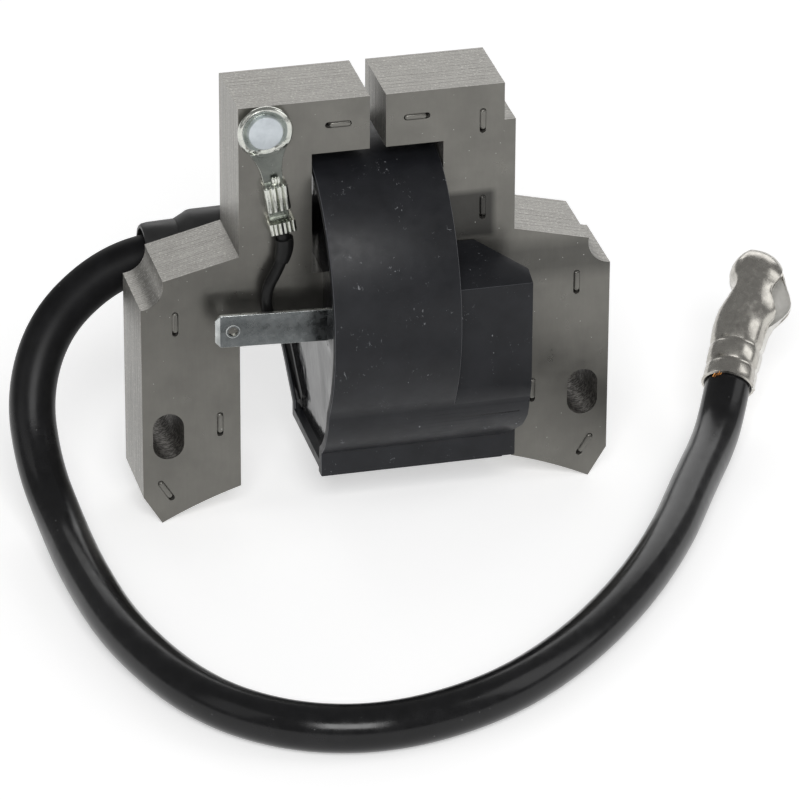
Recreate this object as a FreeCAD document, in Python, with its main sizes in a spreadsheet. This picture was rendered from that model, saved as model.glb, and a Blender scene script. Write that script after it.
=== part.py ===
import FreeCAD, Part
import math
import os
import Sketcher
from FreeCAD import Placement, Rotation, Vector

# Flywheel-magneto ignition coil of a small engine: two laminated side stacks and a
# crossbar carry a moulded coil housing with its trigger module, a folded stop blade,
# a riveted ground lead and a spark-plug lead that ends in a metal plug terminal.
# Millimetres. X runs across the two legs, -Y is the front, +Z is up. The origin is on
# the middle plane of the stacks, midway between the legs, level with the pole tips.

doc = FreeCAD.newDocument("ignition_coil")

# ---------------------------------------------------------------- driving dimensions
SIZES = {
    # laminated stacks
    "stack_thick": 15.0, "leg_outer": 40.99, "column_outer": 23.94, "column_inner": 11.37,
    "stack_top": 76.5, "arm_under": 66.84, "left_gap": 1.36, "right_gap": 1.41,
    "step_out": 21.96, "step_level": 69.7, "wing_root": 49.1, "wing_tip_x": 37.14,
    "wing_tip_z": 45.9, "notch_radius": 4.2, "notch_foot": 40.9, "column_foot": 32.2,
    "toe_height": 5.25, "toe_x": 37.78, "heel_height": 5.57, "pole_radius": 83.0,
    "slot_spacing": 73.0, "slot_level": 16.5, "slot_width": 5.4, "slot_long": 8.6,
    "stake_long": 4.3, "stake_wide": 1.1, "stake_proud": 0.3,
    # crossbar
    "bar_half": 19.9, "bar_low": 34.5, "bar_high": 44.7,
    # coil housing
    "wall": 1.6, "fit": 0.05, "drum_left": -10.9, "drum_right": 11.1,
    "drum_front": 22.5, "drum_radius": 28.7, "drum_level": 38.0, "crown_radius": 19.05,
    "crown_front": 12.2, "crown_level": 60.03, "crown_top": 64.45, "rear_flat": 9.5,
    "rear_round": 13.0, "rear_round_level": 51.45, "chin_front": 17.6, "chin_level": 22.0,
    "chin_radius": 15.2, "foot_front": 12.0, "foot_top": 12.4, "foot_low": 8.0,
    "foot_rear": 10.0, "heel_front": 21.8, "heel_level": 23.5, "heel_radius": 7.0,
    "heel_low_y": 17.8, "heel_low_z": 17.6, "rear_foot_top": 11.5, "potting_left": -9.4,
    # trigger module
    "module_right": 23.4, "module_top": 31.5, "box_right": 24.4, "box_front": 18.5,
    "box_rear": 7.7, "box_top_rear": 48.0, "box_top_front": 44.1, "box_round": 9.0,
    "box_round_level": 25.5, "box_corner_rise": 5.6, "box_shoulder": 15.3, "box_back_right": 16.8,
    "rim_relief": 83.6, "relief_front": -10.2, "pole_centre_z": -73.9,
    "module_inner_left": 12.7, "module_inner_right": 21.3, "module_fill_rear": 9.0,
    "box_inner_low": 19.0, "box_inner_top": 42.4, "board_thick": 1.2, "board_front": 14.4,
    "board_width": 6.8, "board_low": 19.5, "board_high": 41.5, "power_wide": 4.9,
    "power_thick": 1.6,
    # coil internals
    "coil_level": 39.6, "coil_start": -5.4, "coil_end": 9.0, "bobbin_wall": 0.9,
    "bobbin_inner_y": 15.4, "bobbin_inner_z": 10.6, "primary_build": 2.6,
    "secondary_gap": 0.3, "secondary_wall": 0.8, "flange_radius": 18.5,
    "winding_radius": 17.4, "flange_thick": 0.7, "pie_count": 8,
    # stop blade
    "blade_left": -29.3, "blade_end": -5.6, "blade_low": 34.2, "blade_high": 40.1,
    "blade_rise": 1.0,
    "blade_front": 12.9, "blade_thick": 0.8, "blade_corner": 1.1, "blade_hole": 0.85,
    "blade_hole_x": 26.3, "link_radius": 0.45, "link_clear": 0.1,
    # ground ring terminal, rivet and wire
    "ring_x": -19.6, "ring_z": 72.3, "ring_radius": 4.7, "ring_thick": 0.8,
    "ring_lean": 8.6, "rivet_radius": 2.0, "rivet_head": 3.0, "rivet_head_thick": 1.0,
    "neck_root": 2.9, "neck_level": 3.699,
    "neck_end": 1.8, "tongue_end": 18.6, "crimp_y": 9.5,
    "crimp_radius": 1.75, "crimp_start": 9.4, "crimp_long": 5.1, "grip_radius": 1.95,
    "grip_start": 16.0, "grip_long": 2.5, "strand_radius": 0.55, "wire_radius": 1.0,
    "wire_sleeve_radius": 1.6, "wire_sleeve_top": 52.4, "wire_sleeve_low": 48.3,
    "wire_jacket_top": 56.2,
    # spark-plug lead, its boot and its sleeve
    "lead_radius": 4.0, "conductor_radius": 1.2, "lead_y": 15.3, "lead_z": 40.3,
    "boot_radius": 7.2, "boot_left": -28.0, "boot_cone_left": -30.0, "sleeve_radius": 5.5,
    "sleeve_left": -36.0, "sleeve_slack": 1.0, "spigot_radius": 5.2, "boot_right": -11.0,
    "lead_start": -24.0, "contact_radius": 0.8, "contact_end": -6.4,
    # plug terminal
    "plug_x": 65.9, "plug_y": 2.6, "plug_z": 9.0, "plug_heading": 63.2, "plug_rise": 31.4,
    "barrel_radius": 4.5, "barrel_wall": 0.45, "barrel_long": 9.0, "waist_radius": 4.0,
    "waist_at": 10.8, "head_radius": 5.4, "head_at": 15.0, "head_end": 22.1,
    "mouth_radius": 4.25, "mouth_at": 19.6, "lead_grip": 2.0, "spring_radius": 4.7,
    "spring_thick": 0.4, "spring_low": 15.8, "spring_high": 22.0, "tuft_long": 2.8,
}

# Route of the plug lead: corners of its line, from inside the boot to the terminal.
LEAD_ROUTE = [
    (-24.0, 15.3, 40.3), (-34.2, 15.3, 40.3), (-43.8, 15.6, 36.8), (-53.0, 12.9, 29.6),
    (-57.8, 7.2, 19.8), (-57.8, -1.0, 10.2), (-56.3, -12.0, 4.9), (-55.8, -29.0, 4.1),
    (-53.5, -51.5, 4.05), (-46.0, -74.0, 4.05), (-34.0, -86.7, 4.05), (-18.3, -91.0, 4.05),
    (0.0, -86.0, 4.05), (16.0, -74.5, 4.05), (31.0, -58.0, 4.05), (43.3, -40.0, 4.05),
    (52.4, -22.6, 4.05), (60.3, -8.4, 4.1), (63.98, -1.2, 6.4), (66.67, 4.12, 10.04),
]

# Route of the ground wire: from the ring terminal's crimp, behind the blade, into the coil.
GROUND_ROUTE = [
    (-18.133, -9.5, 62.8), (-16.34, -9.5, 50.95), (-17.7, -9.5, 47.2), (-19.9, -9.6, 43.4),
    (-19.7, -9.8, 38.4), (-16.6, -10.1, 35.9), (-6.2, -10.3, 36.6),
]

# Route of the wire inside the potting that ties the stop blade to the trigger board.
LINK_ROUTE = [(-6.4, -12.5, 34.2), (-6.4, -12.5, 22.0), (-3.5, -12.5, 16.9), (12.98, -13.8, 20.4)]

sheet = doc.addObject("Spreadsheet::Sheet", "Sizes")
for row, (alias, value) in enumerate(SIZES.items(), start=1):
    sheet.set(f"A{row}", alias)
    sheet.set(f"B{row}", str(value))
    sheet.setAlias(f"B{row}", alias)
doc.recompute()


class Dim:
    """A size as its number and as the expression that ties it to the sheet."""

    def __init__(self, number, text):
        self.number = number
        self.text = text

    @staticmethod
    def of(value):
        return value if isinstance(value, Dim) else Dim(float(value), repr(float(value)))

    def __add__(self, other):
        other = Dim.of(other)
        return Dim(self.number + other.number, f"({self.text} + {other.text})")

    def __sub__(self, other):
        other = Dim.of(other)
        return Dim(self.number - other.number, f"({self.text} - {other.text})")

    def __mul__(self, other):
        other = Dim.of(other)
        return Dim(self.number * other.number, f"({self.text} * {other.text})")

    def __truediv__(self, other):
        other = Dim.of(other)
        return Dim(self.number / other.number, f"({self.text} / {other.text})")

    def __neg__(self):
        return Dim(-self.number, f"(0 - {self.text})")


def size(alias):
    """One cell of the sheet."""
    return Dim(float(sheet.get(alias)), f"Sizes.{alias}")


def number(alias):
    """One cell of the sheet, as a plain number."""
    return size(alias).number


def bind(thing, **sizes):
    """Tie properties to sizes; a double underscore in a name stands for a dot."""
    for name, value in sizes.items():
        thing.setExpression(name.replace("__", "."), Dim.of(value).text)


# ---------------------------------------------------------------- sketch helpers
PLANE_ROTATION = {
    "XY_Plane": Rotation(),
    "XZ_Plane": Rotation(Vector(1, 0, 0), 90),
    "YZ_Plane": Rotation(Vector(1, 1, 1), 120),
}


def pin(sketch, edge, end, x, y):
    """Hold one end of an edge at (x, y) from the sketch's origin."""
    for kind, value in (("DistanceX", x), ("DistanceY", y)):
        if value.number < 0:
            value = -value
            rule = Sketcher.Constraint(kind, edge, end, -1, 1, value.number)
        else:
            rule = Sketcher.Constraint(kind, -1, 1, edge, end, value.number)
        index = sketch.addConstraint(rule)
        sketch.setExpression(f"Constraints[{index}]", value.text)


def arc_between(start, end, radius, turn):
    """The short arc from start to end; turn is 1 for anticlockwise, -1 for clockwise."""
    chord = end - start
    rise = math.sqrt(radius ** 2 - (chord.Length / 2) ** 2)
    left = Vector(-chord.y, chord.x, 0).normalize()
    centre = (start + end) / 2 + left * (rise * turn)
    first, last = (start, end) if turn > 0 else (end, start)
    angles = [math.atan2(p.y - centre.y, p.x - centre.x) for p in (first, last)]
    return Part.ArcOfCircle(Part.Circle(centre, Vector(0, 0, 1), radius), angles[0], angles[1])


def loop(sketch, corners):
    """A closed outline. A corner is (x, y), or (x, y, radius, turn) where an arc leads to it."""
    corners = [tuple(Dim.of(value) for value in corner) for corner in corners]
    spots = [Vector(corner[0].number, corner[1].number, 0) for corner in corners]
    ends = []
    for index, corner in enumerate(corners):
        start, end = spots[index - 1], spots[index]
        if len(corner) == 2:
            edge = sketch.addGeometry(Part.LineSegment(start, end), False)
            ends.append((edge, 1, 2))
            continue
        radius, turn = corner[2], corner[3].number
        edge = sketch.addGeometry(arc_between(start, end, radius.number, turn), False)
        ends.append((edge, 1, 2) if turn > 0 else (edge, 2, 1))
    for index, corner in enumerate(corners):
        edge, _, last = ends[index]
        following, first, _ = ends[(index + 1) % len(ends)]
        sketch.addConstraint(Sketcher.Constraint("Coincident", edge, last, following, first))
        pin(sketch, edge, last, corner[0], corner[1])
        if len(corner) == 4:
            rule = Sketcher.Constraint("Radius", edge, corner[2].number)
            sketch.setExpression(f"Constraints[{sketch.addConstraint(rule)}]", corner[2].text)


def circle(sketch, x, y, radius):
    x, y, radius = Dim.of(x), Dim.of(y), Dim.of(radius)
    shape = Part.Circle(Vector(x.number, y.number, 0), Vector(0, 0, 1), radius.number)
    edge = sketch.addGeometry(shape, False)
    pin(sketch, edge, 3, x, y)
    rule = Sketcher.Constraint("Radius", edge, radius.number)
    sketch.setExpression(f"Constraints[{sketch.addConstraint(rule)}]", radius.text)


def rectangle(sketch, x0, y0, x1, y1):
    loop(sketch, [(x0, y0), (x1, y0), (x1, y1), (x0, y1)])


def stadium(sketch, x, y, across, along, upright=True):
    """A slot of round ends, centred at (x, y)."""
    x, y, half, reach = Dim.of(x), Dim.of(y), across / 2, (along - across) / 2
    end_radius = half * 1.0001  # a hair over half the width, so that the sketch can solve it
    if upright:
        loop(sketch, [(x + half, y + reach), (x - half, y + reach, end_radius, 1),
                      (x - half, y - reach), (x + half, y - reach, end_radius, 1)])
    else:
        loop(sketch, [(x - reach, y + half), (x - reach, y - half, end_radius, 1),
                      (x + reach, y - half), (x + reach, y + half, end_radius, 1)])


# ---------------------------------------------------------------- body helpers
def new_body(label):
    body = doc.addObject("PartDesign::Body", label)
    body.Label = label
    return body


def body_sketch(body, role, name, lift=None):
    """A sketch on one of the body's own origin planes, lifted along the plane's normal."""
    plane = next(item for item in body.Origin.OriginFeatures if item.Role == role)
    sketch = body.newObject("Sketcher::SketchObject", name)
    sketch.AttachmentSupport = [(plane, "")]
    sketch.MapMode = "FlatFace"
    if lift is not None:
        bind(sketch, AttachmentOffset__Base__z=lift)
    return sketch


def pad(body, sketch, length, both_ways=False, backwards=False):
    feature = body.newObject("PartDesign::Pad", f"{sketch.Name}_pad")
    feature.Profile = sketch
    feature.Midplane = both_ways
    feature.Reversed = backwards
    bind(feature, Length=length)
    doc.recompute()
    return feature


def pocket(body, sketch, depth=None, both_ways=False, backwards=False):
    """Cut a sketch out of the body, through everything where no depth is given."""
    before = body.Shape.Volume
    feature = body.newObject("PartDesign::Pocket", f"{sketch.Name}_pocket")
    feature.Profile = sketch
    feature.Midplane = both_ways
    feature.Reversed = backwards
    if depth is None:
        feature.Type = "ThroughAll"
    else:
        bind(feature, Length=depth)
    doc.recompute()
    assert body.Shape.Volume < before - 0.01, f"{feature.Name} cuts nothing"
    return feature


# ---------------------------------------------------------------- Part helpers
def box(name, x0, x1, y0, y1, z0, z1):
    """A block between two corners."""
    x0, x1, y0, y1, z0, z1 = (Dim.of(value) for value in (x0, x1, y0, y1, z0, z1))
    block = doc.addObject("Part::Box", name)
    bind(block, Length=x1 - x0, Width=y1 - y0, Height=z1 - z0,
         Placement__Base__x=x0, Placement__Base__y=y0, Placement__Base__z=z0)
    return block


def rod_x(name, x0, x1, y, z, radius):
    """A round bar along X."""
    bar = doc.addObject("Part::Cylinder", name)
    bar.Placement = Placement(Vector(), Rotation(Vector(0, 1, 0), 90))
    bind(bar, Radius=radius, Height=Dim.of(x1) - x0,
         Placement__Base__x=x0, Placement__Base__y=y, Placement__Base__z=z)
    return bar


def rod_y(name, y0, y1, x, z, radius):
    """A round bar along Y."""
    bar = doc.addObject("Part::Cylinder", name)
    bar.Placement = Placement(Vector(), Rotation(Vector(1, 0, 0), -90))
    bind(bar, Radius=radius, Height=Dim.of(y1) - y0,
         Placement__Base__x=x, Placement__Base__y=y0, Placement__Base__z=z)
    return bar


def prism(name, role, corners, start, length, inset=None):
    """An outline pushed along its plane's normal from start; inset shrinks the outline."""
    start = Dim.of(start)
    sketch = doc.addObject("Sketcher::SketchObject", f"{name}_outline")
    sketch.Placement = Placement(Vector(), PLANE_ROTATION[role])
    axis, way = {"XY_Plane": ("z", 1), "XZ_Plane": ("y", -1), "YZ_Plane": ("x", 1)}[role]
    bind(sketch, **{f"Placement__Base__{axis}": start * way})
    loop(sketch, corners)
    base = sketch
    if inset is not None:
        base = doc.addObject("Part::Offset2D", f"{name}_inset")
        base.Source = sketch
        base.Join = "Intersection"
        bind(base, Value=-inset)
    solid = doc.addObject("Part::Extrusion", name)
    solid.Base = base
    solid.DirMode = "Custom"
    solid.Dir = PLANE_ROTATION[role].multVec(Vector(0, 0, 1))
    solid.Solid = True
    bind(solid, LengthFwd=length)
    return solid


def joined(name, *pieces):
    whole = doc.addObject("Part::MultiFuse", name)
    whole.Shapes = list(pieces)
    return whole


def cut(name, base, *tools):
    result = doc.addObject("Part::Cut", name)
    result.Base = base
    result.Tool = tools[0] if len(tools) == 1 else joined(f"{name}_tools", *tools)
    return result


def path_of(points, report=""):
    """Straight runs joined by tangent arcs, each as large as its two runs allow."""
    points = [Vector(*point) for point in points]
    edges, radii = [], []
    here = points[0]
    for before, corner, after in zip(points, points[1:], points[2:]):
        coming, going = corner - before, after - corner
        half_turn = coming.getAngle(going) / 2
        reach = 0.45 * min(coming.Length, going.Length)
        radius = reach / math.tan(half_turn)
        enter = corner - coming.normalize() * reach
        leave = corner + going.normalize() * reach
        inward = (going - coming).normalize()
        middle = corner + inward * (radius / math.cos(half_turn) - radius)
        edges.append(Part.LineSegment(here, enter).toShape())
        edges.append(Part.Arc(enter, middle, leave).toShape())
        radii.append(radius)
        here = leave
    edges.append(Part.LineSegment(here, points[-1]).toShape())
    if report:
        print(report, "bend radii, mm:", ", ".join(f"{radius:.0f}" for radius in radii))
    return Part.Wire(edges)


def tube(path, outer, inner=0.0):
    """A round tube, or a rod where inner is 0, along a path."""
    start, way = path.Edges[0].valueAt(0), path.Edges[0].tangentAt(0)
    solids = []
    for radius in (outer, inner):
        if radius > 0:
            ring = Part.Wire([Part.Circle(start, way, radius).toShape()])
            solids.append(path.makePipeShell([ring], True, False))
            expected = math.pi * radius ** 2 * path.Length
            assert abs(solids[-1].Volume / expected - 1) < 0.01, "the tube's volume is wrong"
    return solids[0] if len(solids) == 1 else solids[0].cut(solids[1])


def set_shape(label, shape):
    piece = doc.addObject("Part::Feature", label)
    piece.Shape = shape
    piece.Label = label
    return piece


# ---------------------------------------------------------------- laminated core
def pole_stack(label, side, gap, top_outer, top_step):
    """One side stack: arm, column with a seat for the bar, wing, leg and pole face.

    side is -1 for the left stack and 1 for the right one.
    """
    outer, column, inner = size("leg_outer"), size("column_outer"), size("column_inner")
    corners = [
        (gap, size("arm_under")), (inner, size("arm_under")),
        (inner, size("bar_high")), (size("bar_half"), size("bar_high")),
        (size("bar_half"), size("bar_low")), (inner, size("bar_low")),
        (inner, size("column_foot")), (column, size("column_foot")),
        (column, size("heel_height")),
        (size("toe_x"), 0.0, size("pole_radius"), -side),
        (outer, size("toe_height")), (outer, size("notch_foot")),
        (size("wing_tip_x"), size("wing_tip_z"), size("notch_radius"), -side),
        (column, size("wing_root")),
    ]
    if top_step:
        corners += [(column, size("step_level")), (top_outer, size("step_level"))]
    corners += [(top_outer, size("stack_top")), (gap, size("stack_top"))]
    body = new_body(label)
    sketch = body_sketch(body, "XZ_Plane", f"{label}_outline")
    loop(sketch, [(Dim.of(corner[0]) * side,) + tuple(corner[1:]) for corner in corners])
    pad(body, sketch, size("stack_thick"), both_ways=True)
    sketch = body_sketch(body, "XZ_Plane", f"{label}_slot")
    slot_x = size("slot_spacing") / 2 * side
    stadium(sketch, slot_x, size("slot_level"), size("slot_width"), size("slot_long"))
    pocket(body, sketch, both_ways=True)
    return body


def add_stakes(body, side, marks):
    """The interlock stakes of the sheets, which stand a little proud of the front one."""
    sketch = body_sketch(body, "XZ_Plane", f"{body.Name}_stakes", size("stack_thick") / 2)
    for x, z, upright in marks:
        stadium(sketch, Dim.of(x * side), Dim.of(z), size("stake_wide"), size("stake_long"), upright)
    pad(body, sketch, size("stake_proud"))


STAKES = [(6.5, 71.9, False), (35.1, 38.0, True), (27.5, 18.1, True)]
RIGHT_STAKES = STAKES + [(18.2, 70.2, True), (18.3, 54.1, True)]

left_stack = pole_stack("left_pole_stack", -1, size("left_gap"), size("column_outer"), False)
add_stakes(left_stack, -1, STAKES)
rivet_hole = body_sketch(left_stack, "XZ_Plane", "left_pole_stack_rivet_hole")
circle(rivet_hole, size("ring_x"), size("ring_z"), size("rivet_radius") + size("fit"))
pocket(left_stack, rivet_hole, both_ways=True)

right_stack = pole_stack("right_pole_stack", 1, size("right_gap"), size("step_out"), True)
add_stakes(right_stack, 1, RIGHT_STAKES)

bar = new_body("core_bar")
sketch = body_sketch(bar, "XZ_Plane", "core_bar_outline")
rectangle(sketch, -size("bar_half"), size("bar_low"), size("bar_half"), size("bar_high"))
pad(bar, sketch, size("stack_thick"), both_ways=True)

# ---------------------------------------------------------------- coil housing
DRUM_OUTLINE = [
    (-size("foot_front"), size("foot_low")), (-size("foot_front"), size("foot_top")),
    (-size("chin_front"), size("chin_level"), size("chin_radius"), -1),
    (-size("crown_front"), size("crown_level"), size("drum_radius"), -1),
    (0.0, size("crown_top"), size("crown_radius"), -1), (size("rear_flat"), size("crown_top")),
    (size("drum_front"), size("rear_round_level"), size("rear_round"), -1),
    (size("drum_front"), size("drum_level")),
    (size("heel_front"), size("heel_level")),
    (size("heel_low_y"), size("heel_low_z"), size("heel_radius"), -1),
    (size("foot_rear"), size("rear_foot_top")), (size("foot_rear"), size("foot_low")),
]
drum_width = size("drum_right") - size("drum_left")
drum = prism("drum_block", "YZ_Plane", DRUM_OUTLINE, size("drum_left"), drum_width)
drum_cavity = prism("drum_cavity", "YZ_Plane", DRUM_OUTLINE, size("drum_left") - 1.0,
                    drum_width - size("wall") + 1.0, size("wall"))
module = box("module_block", size("drum_right") - 1.0, size("module_right"),
             -size("foot_front"), size("foot_rear"), size("foot_low"), size("module_top"))
box_side = prism("box_side_view", "YZ_Plane", [
    (-size("box_rear"), size("foot_low")), (-size("foot_front"), size("foot_low")),
    (-size("foot_front"), size("foot_top")),
    (-size("chin_front"), size("chin_level"), size("chin_radius"), -1),
    (-size("box_front"), size("box_round_level"), size("box_round"), -1),
    (-size("box_front"), size("box_top_front")), (-size("box_rear"), size("box_top_rear")),
], size("drum_right") - 1.0, size("box_right") - size("drum_right") + 1.0)
box_face = prism("box_front_view", "XZ_Plane", [
    (size("drum_right") - 1.0, size("foot_low")), (size("module_right"), size("foot_low")),
    (size("module_right"), size("foot_top")),
    (size("box_right"), size("foot_top") + size("box_corner_rise")),
    (size("box_right"), size("box_top_rear")),
    (size("drum_right") - 1.0, size("box_top_rear")),
], size("box_rear"), size("box_front") - size("box_rear") + 1.0)


def box_plan(left):
    """The trigger box seen from above; its rear right corner is cut off."""
    return [
        (left, -size("box_rear")), (left, -size("box_front")),
        (size("box_right"), -size("box_front")), (size("box_right"), -size("box_shoulder")),
        (size("box_back_right"), -size("box_rear")),
    ]


box_top = prism("box_top_view", "XY_Plane", box_plan(size("drum_right") - 1.0),
                size("foot_low"), size("box_top_rear") - size("foot_low"))
trigger_box = doc.addObject("Part::MultiCommon", "trigger_box_block")
trigger_box.Shapes = [box_side, box_face, box_top]
low_box = box("module_cavity", size("module_inner_left"), size("module_inner_right"),
              size("wall") - size("foot_front"), size("foot_rear") + 1.0,
              size("foot_low") + size("wall"), size("module_top") - size("wall"))
high_box = prism("trigger_cavity", "XY_Plane", box_plan(size("module_inner_left") - size("wall")),
                 size("box_inner_low"), size("box_inner_top") - size("box_inner_low"),
                 size("wall"))
# The underside is hollowed behind its front lip, so that the flywheel's rim clears it.
rim_relief, rim_wall = (
    rod_y(name, size("relief_front") - extra, size("foot_rear") + 15.0, 0.0,
          size("pole_centre_z"), size("rim_relief") + extra)
    for name, extra in (("rim_relief", Dim.of(0.0)), ("rim_wall", size("wall"))))
half_y, half_z = size("bobbin_inner_y") / 2, size("bobbin_inner_z") / 2
bar_window = box("bar_window", 0.0, size("drum_right") + 1.0, -half_y, half_y,
                 size("coil_level") - half_z, size("coil_level") + half_z)
link_path = path_of(LINK_ROUTE)
link_hole = set_shape("link_hole", tube(link_path, number("link_radius") + number("link_clear")))
housing_space = cut("housing_space", joined("housing_cavities", drum_cavity, low_box, high_box),
                    rim_wall)
housing = cut("coil_housing", joined("housing_block", drum, module, trigger_box),
              housing_space, rim_relief, bar_window, link_hole)

# ---------------------------------------------------------------- coil internals
def rectangular_tube(label, reach_y, reach_z, thick, start, end):
    """A rectangular tube along X round the bar; the reaches are half its inner sizes."""
    body = new_body(label)
    sketch = body_sketch(body, "YZ_Plane", f"{label}_section", start)
    level = size("coil_level")
    rectangle(sketch, -reach_y, level - reach_z, reach_y, level + reach_z)
    outer_y, outer_z = reach_y + thick, reach_z + thick
    rectangle(sketch, -outer_y, level - outer_z, outer_y, level + outer_z)
    pad(body, sketch, end - start)
    return body


primary_bobbin = rectangular_tube("primary_bobbin", half_y, half_z, size("bobbin_wall"),
                                  size("potting_left"), size("coil_end") + 0.4)
winding_y, winding_z = half_y + size("bobbin_wall"), half_z + size("bobbin_wall")
primary_winding = rectangular_tube("primary_winding", winding_y, winding_z,
                                   size("primary_build"), size("coil_start") + 1.0,
                                   size("coil_end") - 1.0)
tube_y = winding_y + size("primary_build") + size("secondary_gap")
tube_z = winding_z + size("primary_build") + size("secondary_gap")
secondary_bobbin = rectangular_tube("secondary_bobbin", tube_y, tube_z,
                                    size("secondary_wall"), size("coil_start"), size("coil_end"))
hub_y, hub_z = tube_y + size("secondary_wall"), tube_z + size("secondary_wall")
pie_pitch = (size("coil_end") - size("coil_start") - size("flange_thick")) / size("pie_count")
flange = body_sketch(secondary_bobbin, "YZ_Plane", "secondary_flange", size("coil_start"))
circle(flange, 0.0, size("coil_level"), size("flange_radius"))
rectangle(flange, -tube_y, size("coil_level") - tube_z, tube_y, size("coil_level") + tube_z)
flange_pad = pad(secondary_bobbin, flange, size("flange_thick"))
flanges = secondary_bobbin.newObject("PartDesign::LinearPattern", "flange_row")
flanges.Originals = [flange_pad]
flanges.Direction = (flange, ["N_Axis"])
bind(flanges, Length=pie_pitch * size("pie_count"), Occurrences=size("pie_count") + 1.0)
secondary_bobbin.Tip = flanges

pies = []
for index in range(int(size("pie_count").number)):
    start = size("coil_start") + size("flange_thick") + pie_pitch * index
    disc = rod_x(f"pie_{index + 1}_disc", start, start + pie_pitch - size("flange_thick"),
                 0.0, size("coil_level"), size("winding_radius"))
    core = box(f"pie_{index + 1}_core", size("coil_start") - 1.0, size("coil_end") + 1.0,
               -hub_y, hub_y, size("coil_level") - hub_z, size("coil_level") + hub_z)
    pies.append(cut(f"pie_{index + 1}", disc, core))
secondary_winding = doc.addObject("Part::Compound", "secondary_winding")
secondary_winding.Links = pies

# ---------------------------------------------------------------- trigger electronics
board_x0 = size("module_inner_left") + 0.4
board_x1 = board_x0 + size("board_width")
board_back = size("board_thick") - size("board_front")
board = box("trigger_board", board_x0, board_x1, -size("board_front"), board_back,
            size("board_low"), size("board_high"))
power_transistor = box("power_transistor", board_x0 + 0.2, board_x0 + 0.2 + size("power_wide"),
                       board_back, board_back + size("power_thick"), size("board_low") + 0.8,
                       size("board_low") + 9.8)
driver = new_body("driver_transistor")
sketch = body_sketch(driver, "XY_Plane", "driver_section", size("board_low") + 12.0)
centre_x = (board_x0 + board_x1) / 2
driver_back = -size("board_front")
loop(sketch, [(centre_x - 2.2, driver_back), (centre_x + 2.2, driver_back, 2.35, 1)])
pad(driver, sketch, 4.6)
resistors = doc.addObject("Part::Compound", "bias_resistors")
resistors.Links = [
    rod_x(f"resistor_{index + 1}", board_x0 + 1.0, board_x1 - 1.0,
          -size("board_front") - 1.0, size("board_low") + 2.5 + 3.1 * index, 0.95)
    for index in range(3)
]

# ---------------------------------------------------------------- stop blade
blade = new_body("stop_blade")
sketch = body_sketch(blade, "XZ_Plane", "stop_blade_outline",
                     size("blade_front") - size("blade_thick"))
left, low, high = size("blade_left"), size("blade_low"), size("blade_high")
corner = size("blade_corner")
rise = size("blade_rise")  # the free end stands a little higher than the end in the potting
loop(sketch, [(size("blade_end"), low), (size("blade_end"), high),
              (left + corner, high + rise), (left, high + rise - corner),
              (left, low + rise + corner), (left + corner, low + rise)])
circle(sketch, -size("blade_hole_x"), (low + high) / 2 + rise * 0.88, size("blade_hole"))
pad(blade, sketch, size("blade_thick"))
link_wire = set_shape("stop_link_wire", tube(link_path, number("link_radius")))

# ---------------------------------------------------------------- ground connection
# The ring terminal is drawn with its ring at the origin and its tongue pointing down,
# then moved to the rivet and leaned.
ring = new_body("ground_ring")
sketch = body_sketch(ring, "XZ_Plane", "ground_ring_outline")
ring_radius, neck, tongue = size("ring_radius"), size("neck_root"), size("neck_end")
shoulder = -size("neck_level")
loop(sketch, [
    (0.0, ring_radius, ring_radius, 1), (-ring_radius, 0.0, ring_radius, 1),
    (-neck, shoulder, ring_radius, 1), (-tongue, -size("crimp_start")),
    (-tongue, -size("tongue_end")), (tongue, -size("tongue_end")),
    (tongue, -size("crimp_start")), (neck, shoulder),
])
circle(sketch, 0.0, 0.0, size("rivet_radius") + size("fit"))
pad(ring, sketch, size("ring_thick"))
face_y = size("stack_thick") / 2
for name, start, length, outer, inner in (
    ("strand_crimp", "crimp_start", "crimp_long", "crimp_radius", "strand_radius"),
    ("jacket_grip", "grip_start", "grip_long", "grip_radius", "wire_radius"),
):
    sketch = body_sketch(ring, "XY_Plane", name, -(size(start) + size(length)))
    for radius in (size(outer), size(inner) + size("fit")):
        circle(sketch, 0.0, face_y - size("crimp_y"), radius)
    pad(ring, sketch, size(length))
bind(ring, Placement__Base__x=size("ring_x"), Placement__Base__y=-face_y,
     Placement__Base__z=size("ring_z"), Placement__Rotation__Pitch=-size("ring_lean"))

ring_front = -(face_y + size("ring_thick"))
rivet = joined(
    "ground_rivet",
    rod_y("rivet_shank", ring_front, face_y, size("ring_x"), size("ring_z"), size("rivet_radius")),
    rod_y("rivet_front_head", ring_front - size("rivet_head_thick"), ring_front,
          size("ring_x"), size("ring_z"), size("rivet_head")),
    rod_y("rivet_rear_head", face_y, face_y + size("rivet_head_thick"),
          size("ring_x"), size("ring_z"), size("rivet_head")))


def between(shape, low, high):
    """The stretch of a shape between two heights."""
    slab = Part.makeBox(100, 100, high - low, Vector(-50, -50, low))
    return shape.common(slab)


wire, strand, fit = number("wire_radius"), number("strand_radius"), number("fit")
ground_path = path_of(GROUND_ROUTE, "ground wire")
ground_wire_strands = set_shape("ground_wire_strands", tube(ground_path, strand))
ground_wire_jacket = set_shape("ground_wire_jacket", between(
    tube(ground_path, wire, strand + fit), 0.0, number("wire_jacket_top")))
ground_wire_sleeve = set_shape("ground_wire_sleeve", between(
    tube(ground_path, number("wire_sleeve_radius"), wire + fit),
    number("wire_sleeve_low"), number("wire_sleeve_top")))
ground_wire_hole = set_shape("ground_wire_hole", tube(ground_path, wire + fit))

# ---------------------------------------------------------------- plug lead


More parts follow.
